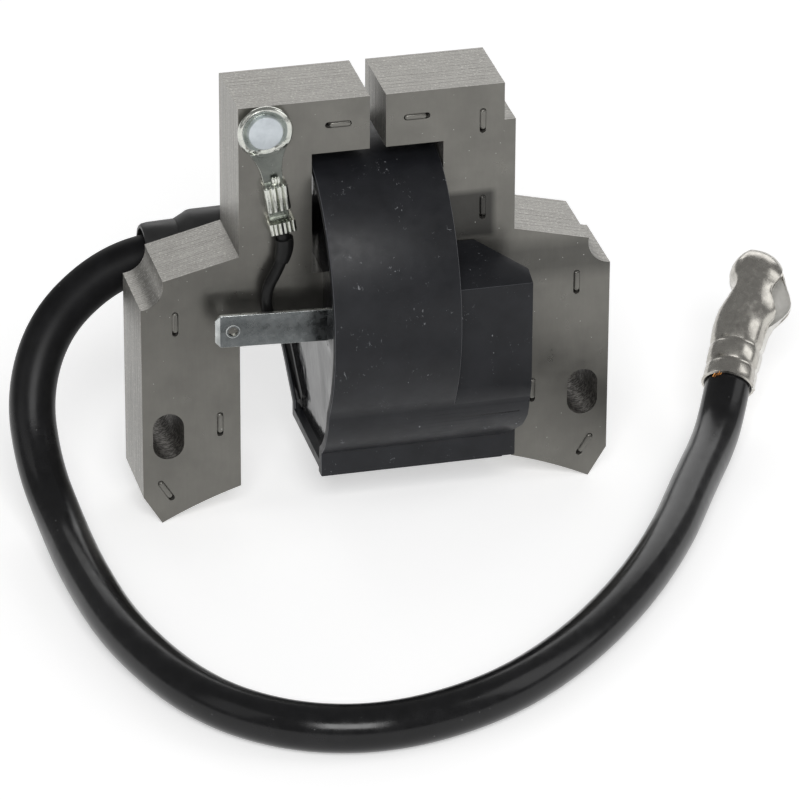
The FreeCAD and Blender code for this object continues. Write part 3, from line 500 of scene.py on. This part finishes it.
def together(name, pieces):
    """One mesh out of several solids."""
    work = bmesh.new()
    for piece in pieces:
        work.from_mesh(piece.data)
        bpy.data.objects.remove(piece)
    mesh = bpy.data.meshes.new(name)
    work.to_mesh(mesh)
    work.free()
    return to_object(name, mesh)


def paint(piece, choose, *looks):
    """Gives the piece its looks; choose(face) is the number of a face's look."""
    for look in looks:
        piece.data.materials.append(look)
    for face in piece.data.polygons:
        face.material_index = choose(face)


def hand_over(piece, look, slot, *nodes, angle=32):
    """Shades a piece, paints it unless look is None, and fixes it to the object."""
    if piece.type == "MESH":
        piece.data.shade_smooth()
        piece.data.set_sharp_from_angle(angle=math.radians(angle))
    if look is not None:
        piece.data.materials.clear()
        piece.data.materials.append(look)
    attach(piece, "root")
    if nodes:
        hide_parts(*nodes)
    return piece


def nurbs(name, route, radius, round_steps=10, smooth=24):
    """A tube of one open NURBS spline with the route's points, in metres."""
    curve = bpy.data.curves.new(name, "CURVE")
    curve.dimensions = "3D"
    curve.resolution_u = smooth
    curve.bevel_depth, curve.bevel_resolution = radius * MM, round_steps
    curve.use_fill_caps = True
    spline = curve.splines.new("NURBS")
    spline.points.add(len(route) - 1)
    for point, place in zip(spline.points, route):
        point.co = (*place, 1.0)
    spline.order_u = 3
    spline.use_endpoint_u = True
    return to_object(name, curve)


# ---------------------------------------------------------------- laminated core
STAKES = [(6.5, 71.9, 90), (18.2, 70.2, 0), (18.3, 54.1, 0), (35.1, 38.0, 0),
          (27.5, 18.1, 0), (37.17, 6.4, -31.9)]
STAKE_LONG, STAKE_WIDE, STAKE_SLIT, STAKE_PROUD, STAKE_DEEP = 3.7, 1.05, 0.85, 0.30, 2.4


def stack_outline(side, gap, top):
    """The outline of one core half; top holds the corners of its upper outer edge."""
    corners = [
        (gap, ARM_UNDER), (COLUMN_INNER, ARM_UNDER), (COLUMN_INNER, 44.7), (19.9, 44.7),
        (19.9, 34.5), (COLUMN_INNER, 34.5), (COLUMN_INNER, 32.2), (COLUMN_OUTER, 32.2),
        (COLUMN_OUTER, 5.57), (37.78, 0.0, 83.0, -side), (LEG_OUTER, 5.25),
        (LEG_OUTER, 40.9), (37.14, 45.9, 4.2, -side), (COLUMN_OUTER, 49.1),
        *top, (gap, STACK_TOP),
    ]
    return outline([(corner[0] * side, *corner[1:]) for corner in corners], steps=14)


def core_half(name, node, side, gap, top, stakes):
    """One half of the core as its punched sheets, with the interlock stakes in the front.

    The slits of a stake are open at its two ends, the lower one most.
    """
    edge = stack_outline(side, gap, top)
    slot = stadium(SLOT_X * side, SLOT_Z, SLOT_WIDE, SLOT_LONG, steps=16)
    marks = [(x * side, z, math.radians(turn) * side) for x, z, turn in stakes]
    slits = []
    for x, z, turn in marks:
        drop = Matrix.Rotation(turn, 2) @ Vector((0.0, -STAKE_SLIT / 3))
        slits.append(stadium(x + drop.x, z + drop.y, STAKE_WIDE + 0.03,
                             STAKE_LONG + STAKE_SLIT, turn))
    pitch = 2 * STACK_HALF / SHEETS
    plain = plate("plain_sheet", XZ, [edge, slot], 0.0, pitch - SHEET_GAP,
                  bevel=SHEET_EDGE)
    staked = plate("staked_sheet", XZ, [edge, slot, *slits], 0.0, pitch - SHEET_GAP,
                   bevel=SHEET_EDGE)
    work = bmesh.new()
    for index in range(SHEETS):
        source = staked if index >= SHEETS - STAKED_SHEETS else plain
        start = len(work.verts)
        work.from_mesh(source.data)
        loose = 0.0 if index in (0, SHEETS - 1) else SHEET_LOOSE
        shift = Vector((random.uniform(-loose, loose), STACK_HALF - pitch * index,
                        random.uniform(-loose, loose)))
        work.verts.ensure_lookup_table()
        bmesh.ops.translate(work, vec=shift * MM, verts=work.verts[start:])
    for tool in (plain, staked):
        bpy.data.objects.remove(tool)
    for x, z, turn in marks:
        tab = plate("tab", XZ, [stadium(x, z, STAKE_WIDE, STAKE_LONG, turn)],
                    STACK_HALF - STAKE_DEEP, STACK_HALF + STAKE_PROUD, bevel=0.30, segments=3)
        work.from_mesh(tab.data)
        bpy.data.objects.remove(tab)
    mesh = bpy.data.meshes.new(name)
    work.to_mesh(mesh)
    work.free()
    piece = to_object(name, mesh)

    def look_of(face):
        across, up = abs(face.center.x) / MM - SLOT_X, face.center.z / MM - SLOT_Z
        if abs(face.normal.y) > 0.6:
            return 0
        # slot walls take the darker bore look, painted shade inside the slot
        return 2 if abs(across) < 3.0 and abs(up) < 4.6 else 1

    paint(piece, look_of, STEEL_SHEET, STEEL_EDGE, STEEL_BORE_SHADED)
    return hand_over(piece, None, "core_laminations", node)


def laminated_core():
    left_top = [(COLUMN_OUTER, STACK_TOP)]
    right_top = [(COLUMN_OUTER, 69.7), (21.96, 69.7), (21.96, STACK_TOP)]
    left_stakes = [mark for mark in STAKES if not 18.0 < mark[0] < 19.0]
    core_half("core_half_left", "left_pole_stack", -1, 1.36, left_top, left_stakes)
    core_half("core_half_right", "right_pole_stack", 1, 1.41, right_top, STAKES)


# ---------------------------------------------------------------- coil housing
DRUM = [
    (-12.0, FOOT_LOW), (-12.0, 12.4), (-17.6, 22.0, 15.2, -1), (-12.2, 60.03, 28.7, -1),
    (0.0, 64.45, 19.05, -1), (9.5, 64.45), (22.5, 51.45, 13.0, -1), (22.5, 38.0),
    (21.8, 23.5), (17.8, 17.6, 7.0, -1), (10.0, 11.5), (10.0, FOOT_LOW),
]
BOX_LEFT, BOX_BACK, BOX_FACE, BOX_TOP = 9.0, -7.7, -18.5, 49.0
BOX_SIDE = [
    (BOX_BACK, FOOT_LOW), (-12.0, FOOT_LOW), (-12.0, 12.4), (-17.6, 22.0, 15.2, -1),
    (BOX_FACE, 25.5, 9.0, -1), (BOX_FACE, 44.1), (BOX_BACK, 48.0),
]
BOX_FRONT = [
    (BOX_LEFT, FOOT_LOW), (MODULE_RIGHT, FOOT_LOW), (MODULE_RIGHT, 12.4), (BOX_RIGHT, 18.0),
    (BOX_RIGHT, BOX_TOP), (BOX_LEFT, BOX_TOP),
]
BOX_PLAN = [(BOX_LEFT, BOX_BACK), (BOX_LEFT, BOX_FACE), (BOX_RIGHT, BOX_FACE),
            (BOX_RIGHT, -15.3), (16.8, BOX_BACK)]


def ring_at(x, points):
    return [(x, point.x, point.y) for point in points]


def cylinder_y(name, radius, y0, y1, steps=360):
    """A wide cylinder about the flywheel's axis."""
    return plate(name, XZ, [circle(0.0, POLE_CENTRE_Z, radius, steps)], -y1, -y0)


def coil_housing():
    drum_line = outline(DRUM, steps=20)
    housing = plate("coil_housing_shell", YZ, [drum_line], DRUM_LEFT, DRUM_RIGHT,
                    bevel=0.22, segments=3)
    side = plate("box_side", YZ, [outline(BOX_SIDE)], BOX_LEFT, BOX_RIGHT + 1)
    front = plate("box_front", XZ, [outline(BOX_FRONT)], 7.0, 19.0)
    plan = plate("box_plan", Matrix.Identity(4), [outline(BOX_PLAN)], 7.0, BOX_TOP)
    box = rounded(boolean(side, "INTERSECT", front, plan), 0.3)
    module = rounded(plate("module", XZ, [outline([
        (BOX_LEFT, FOOT_LOW), (MODULE_RIGHT, FOOT_LOW), (MODULE_RIGHT, 31.5),
        (BOX_LEFT, 31.5)])],
        -10.0, 12.0), 0.3)
    boolean(housing, "UNION", module, box)
    mouth = [ring_at(DRUM_LEFT - 1, moved(drum_line, WALL - 0.25)),
             ring_at(DRUM_LEFT, moved(drum_line, WALL - 0.25)),
             ring_at(DRUM_LEFT + 0.3, moved(drum_line, WALL)),
             ring_at(DRUM_RIGHT - WALL, moved(drum_line, WALL))]
    cavity = loft("cavity", mouth)
    floor = cylinder_y("cavity_floor", RELIEF_RADIUS + WALL, RELIEF_FRONT - WALL, 25.0)
    boolean(cavity, "DIFFERENCE", floor)
    rear = plate("module_space", XZ, [outline([
        (12.7, 10.4), (21.3, 10.4), (21.3, 29.9), (12.7, 29.9)])], -11.0, 10.4)
    floor = cylinder_y("module_floor", RELIEF_RADIUS + WALL, RELIEF_FRONT - WALL, 25.0)
    boolean(rear, "DIFFERENCE", floor)
    high = plate("trigger_space", Matrix.Identity(4), [outline([
        (12.7, -9.3), (12.7, -16.9), (22.8, -16.9), (22.8, -16.0), (16.1, -9.3)])], 19.0, 42.4)
    relief = cylinder_y("relief", RELIEF_RADIUS, RELIEF_FRONT, 25.0)
    window = plate("bar_window", YZ, [outline([
        (-7.7, 34.3), (7.7, 34.3), (7.7, 44.9), (-7.7, 44.9)])], 0.0, 12.1)
    boolean(housing, "DIFFERENCE", cavity, rear, high, relief, window)

    def look_of(face):
        """The drum's rounded rims and the top edges of the box get a lighter look: a painted
        highlight along these edges, with wear marks.
        """
        x, z, lean = face.center.x / MM, face.center.z / MM, abs(face.normal.x)
        drum_rim = 0.3 < lean < 0.96 and (x < DRUM_LEFT + 0.3 or abs(x - DRUM_RIGHT + 0.15) < 0.2)
        box_rim = (x > DRUM_RIGHT and z > 43.0 and face.normal.y > -0.95
                   and face.area < 3e-6 and face.normal.z < 0.9 and face.center.y < -0.0075)
        return 1 if drum_rim or box_rim else 0

    paint(housing, look_of, PLASTIC, RIM_HIGHLIGHT_AND_WEAR)
    return hand_over(housing, None, "housing_plastic", "coil_housing")


def resin_face():
    """The poured resin in the left opening, drawn up a little at the walls and at the blade."""
    wall = moved(outline(DRUM, steps=20), WALL + 0.02)
    middle = Vector((1.0, 35.0))
    rise = [(1.0, 0.95), (0.988, 0.5), (0.970, 0.22), (0.94, 0.08), (0.90, 0.04), (0.86, 0.02),
            (0.82, 0.0), (0.78, 0.0), (0.74, 0.0), (0.70, 0.0), (0.6, 0.02), (0.5, 0.03),
            (0.25, 0.0), (0.02, 0.0)]
    rings = [ring_at(POTTING + 0.6, wall)]
    for share, lift in rise:
        line = [middle + (point - middle) * share for point in wall]
        ring = []
        for p in line:
            away = math.hypot(max(abs(p.x - BLADE_Y) - 0.4, 0.0),
                              max(abs(p.y - 37.2) - 2.95, 0.0))
            drawn = 0.9 * math.exp(-away / 0.9)
            ring.append((POTTING - 0.05 - max(lift, drawn)
                         - 0.10 * noise.noise(Vector((p.x, p.y, 0)) / 4), p.x, p.y))
        rings.append(ring)
    return hand_over(loft("resin_face", rings), RESIN, "potting_resin")


# ---------------------------------------------------------------- stop blade
def blade_middle(x):
    """The blade's middle height; its free end stands a little higher."""
    run = min(max((BLADE_END - x) / (BLADE_END - BLADE_LEFT), 0.0), 1.0)
    return (BLADE_LOW + BLADE_HIGH) / 2 + BLADE_RISE * run


def rounded_bar(x, half_y, half_z, round_off, steps=4):
    """A round-cornered section across X, centred on the blade's line."""
    ring = []
    for sy, sz, start in ((1, 1, 0), (-1, 1, 90), (-1, -1, 180), (1, -1, 270)):
        for step in range(steps + 1):
            t = math.radians(start + 90 * step / steps)
            ring.append((x, BLADE_Y + sy * (half_y - round_off) + round_off * math.cos(t),
                         blade_middle(x) + sz * (half_z - round_off) + round_off * math.sin(t)))
    return ring


def stop_blade():
    half = (BLADE_HIGH - BLADE_LOW) / 2
    spans = [(0.0, 0.10, half - 0.95), (0.12, 0.18, half - 0.75), (0.80, 0.385, half - 0.10),
             *((run, BLADE_HALF_THICK, half)
               for run in (1.05, 8.0, 15.0, BLADE_END - BLADE_LEFT))]
    blade = loft("stop_blade_strip", [
        rounded_bar(BLADE_LEFT + run, thick, tall, min(0.13, thick * 0.6))
        for run, thick, tall in spans])
    hole = (BLADE_HOLE_X, BLADE_Y, blade_middle(BLADE_HOLE_X))
    rim = lathe("rim", [(0.0, 0.86), (0.0, 1.1), (0.04, 1.2), (0.12, 1.25), (0.3, 1.25),
                        (0.3, 0.86)], (hole[0], BLADE_Y - 0.52, hole[2]), (0, 1, 0), steps=32)
    for piece in (blade, rim):
        boolean(piece, "DIFFERENCE", lathe("hole", [(-1, BLADE_HOLE), (1, BLADE_HOLE)], hole,
                                           (0, 1, 0), steps=32))
    strip = together("stop_blade_strip", [blade, rim])
    # flat faces take the dark tin, the edges the light one: painted shade and painted highlight
    paint(strip, lambda face: 0 if abs(face.normal.y) > 0.96 else 1, TIN, TIN_EDGE_HIGHLIGHT)
    return hand_over(strip, None, "tinned_steel", "stop_blade")


# ---------------------------------------------------------------- ground ring terminal
# Drawn in the terminal's own frame: ring at the origin, tongue down, front to -Y.
RING_FRAME = (Matrix.Translation(Vector((RING_X, -STACK_HALF, RING_Z)) * MM)
              @ Matrix.Rotation(-RING_LEAN, 4, "Y"))


def crimp(name, start, long, half_wide, depth, ridges):
    """Wings rolled over the wire; their front shows as upright ridges with a seam between."""
    pitch = 2 * half_wide / ridges
    front = []
    for step in range(6 * ridges + 1):
        x = -half_wide + pitch * step / 6
        share = (step % 6) / 6 * 2 - 1
        swell = math.sqrt(max(1 - share * share, 0.0)) if step % 6 else 0.0
        low = 0.55 if abs(x) < 0.01 else 0.35
        front.append((x, -depth + low * (1 - swell) + 0.35 * (x / half_wide) ** 4))
    section = [(half_wide, 0.0), (-half_wide, 0.0)] + front
    rings = []
    for share, wide, tall in ((0.0, 0.92, 0.30), (0.05, 0.97, 0.72), (0.12, 1.0, 1.0),
                              (0.93, 1.0, 1.0), (0.98, 0.99, 0.97), (1.0, 0.95, 0.90)):
        z = -start - long * share
        rings.append([(x * wide, y * tall, z) for x, y in section])
    return loft(name, rings)


def neck_side(level):
    """Half the width of the terminal's tongue at a level below the ring's middle."""
    if level > 8.9:
        return 1.75
    share = (level - 2.6) / 6.3
    return 4.05 - 2.3 * math.sin(share * math.pi / 2) ** 0.8


def ground_ring():
    levels = [2.6 + 0.45 * step for step in range(15)] + [9.2, 12.0, 16.0, 18.4]
    right = [Vector((neck_side(level), -level)) for level in levels]
    line = right + [Vector((-point.x, point.y)) for point in reversed(right)]
    dish = lathe("dish", [
        (0.75, 2.55), (0.75, 3.95), (0.25, 4.45), (-0.15, RING_RADIUS), (-0.55, RING_RADIUS + 0.04),
        (-0.90, RING_RADIUS - 0.12), (-1.05, 4.38), (-0.98, 4.12), (-0.55, 3.62), (-0.12, 3.32),
        (0.02, 3.05), (0.02, 2.55)], (0, -RING_SHEET, 0), (0, 1, 0), steps=96)
    # the raised rim runs out where the tongue leaves it
    for vertex in dish.data.vertices:
        fade = min(max((-vertex.co.z / MM - 2.2) / 1.9, 0.0), 1.0)
        fade *= fade * (3 - 2 * fade)
        vertex.co.y += fade * (max(vertex.co.y, -0.82 * MM) - vertex.co.y)
    dish_hole = lathe("dish_hole", [(-3, 2.6), (3, 2.6)], (0, 0, 0), (0, 1, 0))
    boolean(dish, "DIFFERENCE", dish_hole)
    strip = plate("strip", XZ, [line], 0.12, RING_SHEET, bevel=0.16, segments=3)
    boolean(strip, "DIFFERENCE",
            lathe("strip_hole", [(-3, 3.7), (3, 3.7)], (0, 0, 0), (0, 1, 0), steps=96))
    strand = crimp("strand_crimp", 9.4, 5.1, 2.1, 2.6, 4)
    grip = crimp("jacket_grip", 16.0, 2.5, 2.35, 3.2, 6)
    tips = [lathe("strand_tip", [(-0.9, 0.30), (0.0, 0.30), (0.9, 0.26), (1.1, 0.12)],
                  (x, -1.30 - 0.15 * abs(x), -9.5), (0.08 * x, -0.1, 1.0), steps=12)
            for x in (-0.1, 0.35, 0.8)]
    ring = together("ground_ring_terminal", [dish, strand, grip, *tips, strip])
    # the tongue's flat faces take the dark tin, all else the light one: painted shade and painted
    # highlight
    paint(ring, lambda face: 1 if (face.center.y > -0.85 * MM and abs(face.normal.y) > 0.9
                                   and face.center.z < -3.6 * MM) else 0, RING_TIN_LIT, TONGUE_TIN_SHADED)
    ring.data.transform(RING_FRAME)
    return hand_over(ring, None, "bright_tin", "ground_ring")


def ground_rivet():
    """A pin through the ring and the core, with a head in front and one behind."""
    back = 2 * STACK_HALF + RING_SHEET
    profile = [(-1.0, 0.0), (-1.0, 2.75), (-0.95, 2.88), (-0.82, 2.97), (-0.6, 3.0), (0.0, 3.0),
               (0.0, 2.0), (back, 2.0), (back, 3.0), (back + 0.5, 2.95), (back + 0.85, 2.6),
               (back + 1.0, 2.0), (back + 1.0, 0.0)]
    place = (RING_X, -STACK_HALF - RING_SHEET, RING_Z)
    rivet = lathe("ground_rivet_pin", profile, place, (0, 1, 0))
    return hand_over(rivet, RIVET, "rivet_metal", "ground_rivet")


def ground_wire():
    """The insulated wire from the jacket's grip into the coil, and its short sleeve."""
    route = [Vector(point) for point in GROUND_ROUTE]
    bared = route[0].lerp(route[1], 0.56)
    wire = nurbs("ground_wire_insulation", [bared, *route[1:]], 1.0)
    hand_over(wire, WIRE, "wire_insulation", "ground_wire_jacket", "ground_wire_strands")
    low = route[1].lerp(route[2], 0.6)
    top = route[0].lerp(route[1], 0.84)
    sleeve = nurbs("ground_wire_sleeve_tube", [top, route[1], low], 1.6)
    sleeve.data.splines[0].points[0].radius = 0.95
    sleeve.data.splines[0].points[2].radius = 0.78
    hand_over(sleeve, WIRE, "wire_insulation", "ground_wire_sleeve")


# ---------------------------------------------------------------- plug lead
def plug_lead():
    lead = nurbs("plug_lead_cable", LEAD_ROUTE, LEAD_RADIUS, round_steps=14, smooth=32)
    return hand_over(lead, LEAD, "lead_rubber", "lead_jacket", "lead_conductor")


def lead_exit():
    boot = lathe("lead_boot_moulding", [
        (POTTING - 0.1, 5.2), (-11.0, 5.2), (-11.0, 6.9), (-11.3, 7.2), (-20.0, 7.15),
        (-20.4, 6.95), (-27.0, 6.85), (-27.7, 6.7), (-28.4, 6.3), (-30.0, 5.5), (-30.0, 4.05),
        (-26.0, 4.05), (-26.0, 1.0)],
        (0.0, LEAD_Y, LEAD_Z), (1, 0, 0))
    hand_over(boot, BOOT, "boot_rubber", "lead_boot")
    sleeve = lathe("lead_sleeve_tube", [
        (-29.6, 4.6), (-29.6, 5.3), (-30.2, 5.5), (-34.6, 5.35), (-35.6, 5.2), (-36.0, 4.9),
        (-36.0, 4.4), (-33.0, 4.3)], (0.0, LEAD_Y, LEAD_Z), (1, 0, 0))
    hand_over(sleeve, BOOT, "boot_rubber", "lead_sleeve")


# ---------------------------------------------------------------- plug terminal
# Drawn upright with the lead's entry at the origin and the socket mouth to -Y.
PLUG_FRAME = (Matrix.Translation(Vector(PLUG_PLACE) * MM)
              @ Matrix.Rotation(PLUG_HEADING, 4, "Z")
              @ Matrix.Rotation(math.pi / 2 - PLUG_RISE, 4, "Y"))


def open_section(w, back, side, near, far, near_gap, far_gap, near_lip, far_lip, steps=48):
    """A section open towards the mouth: its lips stop short of the middle by two angles.

    The near lip is on -X. near and far are the reaches of the two halves towards the mouth;
    the lips may turn outwards into a flange.
    """
    first, last = math.radians(270 - near_gap), math.radians(-90 + far_gap)
    ring = []
    for step in range(steps + 1):
        t = first + (last - first) * step / steps
        reach = back if math.sin(t) > 0 else near if math.cos(t) < 0 else far
        ring.append((side * math.cos(t), reach * math.sin(t), w))
    start, end = Vector(ring[0]), Vector(ring[-1])
    return ([start + Vector((-0.12, -near_lip, 0))] + ring + [end + Vector((0.12, -far_lip, 0))])


def open_shell(name, spans, thick):
    """Sheet metal rolled through open sections; its inside is painted nearly white and hardly
    metallic, a painted reflection of the bright floor.
    """
    work = bmesh.new()
    rows = [[work.verts.new(Vector(point) * MM) for point in open_section(*span)]
            for span in spans]
    for first, second in zip(rows, rows[1:]):
        for index in range(len(first) - 1):
            work.faces.new((first[index], first[index + 1], second[index + 1], second[index]))
    mesh = bpy.data.meshes.new(name)
    work.to_mesh(mesh)
    work.free()
    piece = to_object(name, mesh)
    for look in (NICKEL_INSIDE_LIT, NICKEL):
        mesh.materials.append(look)
    wall = piece.modifiers.new("wall", "SOLIDIFY")
    wall.thickness, wall.offset = thick * MM, -1.0
    wall.material_offset = wall.material_offset_rim = 1
    return apply_modifiers(piece)


def plug_terminal():
    """The folded terminal, the spring in its mouth and the lead's strands turned back."""
    barrel = [(0.0, 4.30), (0.3, 4.2), (1.2, 4.12), (2.5, 4.1), (2.9, 3.95), (3.3, 3.85),
              (3.7, 3.95), (4.1, 4.1), (6.6, 4.1), (7.0, 3.95), (7.4, 3.85), (7.8, 3.95),
              (8.3, 4.1), (11.0, 4.2)]
    spans = [(w, r, r, r + 0.02 * w, r + 0.02 * w, 2.5, 2.5, 0.25 + 0.02 * w, 0.6 + 0.04 * w)
             for w, r in barrel]
    # reach away from the mouth, to each side, near half, far half; gaps; lips
    spans += [(w, *span) for w, span in (
        (13.0, (4.0, 4.3, 4.8, 5.2, 3, 3, 0.45, 0.9)),
        (14.3, (3.7, 4.5, 5.7, 6.3, 6, 6, 0.25, 0.5)),
        (15.5, (3.2, 4.6, 6.2, 7.2, 12, 10, 0.1, 0.2)),
        (17.0, (2.5, 4.7, 6.2, 8.1, 28, 15, 0.05, 0.1)),
        (18.3, (1.9, 4.7, 6.0, 8.5, 34, 18, 0.05, 0.1)),
        (19.3, (1.8, 4.72, 6.1, 8.5, 35, 20, 0.05, 0.1)),
        (20.2, (2.1, 4.78, 6.4, 8.3, 34, 22, 0.05, 0.1)),
        (21.2, (2.8, 4.85, 6.8, 8.0, 31, 23, 0.05, 0.1)),
        (22.2, (3.0, 4.85, 6.8, 7.4, 26, 22, 0.05, 0.1)),
        (23.3, (2.9, 4.7, 6.3, 6.6, 18, 16, 0.05, 0.1)),
        (24.3, (2.5, 4.35, 5.7, 5.8, 8, 8, 0.05, 0.05)),
        (25.3, (1.8, 3.8, 5.1, 5.1, 3, 3, 0.0, 0.0)),
        (26.3, (0.9, 2.9, 4.2, 4.2, 3, 3, 0.0, 0.0)),
        (27.0, (-0.1, 1.9, 3.3, 3.3, 3, 3, 0.0, 0.0)),
        (27.4, (-1.1, 0.8, 2.3, 2.3, 3, 3, 0.0, 0.0)),
    )]
    shell = open_shell("plug_terminal_body", spans, 0.45)
    shell.data.transform(PLUG_FRAME)
    spring = open_shell("plug_terminal_clip", [
        (w, 1.2 * r, 3.4 * r, 3.4 * r, 3.4 * r, 55, 55, 0.0, 0.0)
        for w, r in ((16.4, 0.9), (17.2, 1.0), (20.6, 1.0), (21.4, 0.9))], 0.4)
    spring.data.transform(PLUG_FRAME)
    strands = together("plug_terminal_copper", [
        lathe("strand", [(-0.7, 0.08), (0.0, 0.13), (0.5, 0.12), (0.8, 0.06)],
              ((4.0 + random.uniform(-0.1, 0.2)) * math.cos(math.radians(turn)),
               (4.0 + random.uniform(-0.1, 0.2)) * math.sin(math.radians(turn)),
               random.uniform(-0.3, 0.1)),
              (random.uniform(-0.6, 0.6), random.uniform(-0.9, 0.9), 1.0), steps=8)
        for turn in (150, 154, 157, 160, 163, 166)])
    strands.data.transform(PLUG_FRAME)
    return [hand_over(shell, None, "nickel_plate", "plug_terminal_shell", angle=40),
            hand_over(spring, None, "nickel_plate", "plug_terminal_spring", angle=40),
            hand_over(strands, COPPER, "copper_strand", "plug_terminal_strands")]


# ---------------------------------------------------------------- stage, camera, lights
TARGET, DISTANCE = Vector((4.065, -7.5, 18.69)), 1068.4
AZIMUTH, ELEVATION, ROLL, LENS = (math.radians(-14.02), math.radians(27.389),
                                  math.radians(0.292), 280.4)


def towards(azimuth, elevation):
    """The direction from the object at an azimuth, from the front to +X, and an elevation."""
    return Vector((math.sin(azimuth) * math.cos(elevation),
                   -math.cos(azimuth) * math.cos(elevation), math.sin(elevation)))


def camera():
    data = bpy.data.cameras.new("camera")
    data.lens, data.sensor_width, data.clip_start = LENS, 36.0, 0.01
    item = bpy.data.objects.new("camera", data)
    bpy.context.scene.collection.objects.link(item)
    back = towards(AZIMUTH, ELEVATION)
    right = Vector((0, 0, 1)).cross(back).normalized()
    up = back.cross(right)
    turned = Matrix.Rotation(ROLL, 3, back)
    axes = Matrix((turned @ right, turned @ up, back)).transposed()
    item.matrix_world = Matrix.LocRotScale((TARGET + back * DISTANCE) * MM, axes, None)
    bpy.context.scene.camera = item


def softbox(name, azimuth, elevation, distance, size, power):
    """A rectangular light aimed at the object; it never shows in the picture."""
    data = bpy.data.lights.new(name, "AREA")
    data.shape, data.size, data.size_y = "RECTANGLE", size[0], size[1]
    data.energy = power
    item = bpy.data.objects.new(name, data)
    bpy.context.scene.collection.objects.link(item)
    direction = towards(math.radians(azimuth), math.radians(elevation))
    item.location = direction * distance + Vector((0, 0, 0.03))
    item.rotation_euler = direction.to_track_quat("Z", "Y").to_euler()
    item.visible_camera = False


def studio():
    floor = plate("studio_floor", Matrix.Identity(4), [circle(0, 0, 9000.0, 96)], -4.0, 0.0)
    look = Shader("studio_paper", (0.86, 0.86, 0.86), 0.9, specular=0.2)
    look.feed("Base Color", look.mix(look.noise(30.0), (0.84, 0.84, 0.84), (0.88, 0.88, 0.88)))
    look.bsdf.inputs["Emission Color"].default_value = (1.0, 1.0, 1.0, 1.0)
    look.bsdf.inputs["Emission Strength"].default_value = 0.41
    floor.data.materials.append(look.material)
    world = bpy.data.worlds.new("studio")
    bpy.context.scene.world = world
    world.use_nodes = True
    world.node_tree.nodes["Background"].inputs["Color"].default_value = (1.0, 1.0, 1.0, 1.0)
    world.node_tree.nodes["Background"].inputs["Strength"].default_value = 0.24
    # azimuth, elevation, distance, size, power
    softbox("key", -10, 37, 2.4, (1.3, 0.9), 34)
    softbox("left", -80, 32, 2.4, (1.2, 1.6), 3.5)
    softbox("right", 80, 30, 2.4, (1.2, 1.6), 8)
    softbox("back", 162, 24, 2.8, (3.2, 1.4), 21)
    bpy.context.scene.view_settings.view_transform = "Standard"


# ---------------------------------------------------------------- assembly
camera()
laminated_core()
coil_housing()
resin_face()
stop_blade()
ground_ring()
ground_rivet()
ground_wire()
lead = plug_lead()
lead_exit()
terminal_pieces = plug_terminal()
for name, look in KEPT_LOOKS.items():
    NODES[name].data.materials.clear()
    NODES[name].data.materials.append(look)
studio()
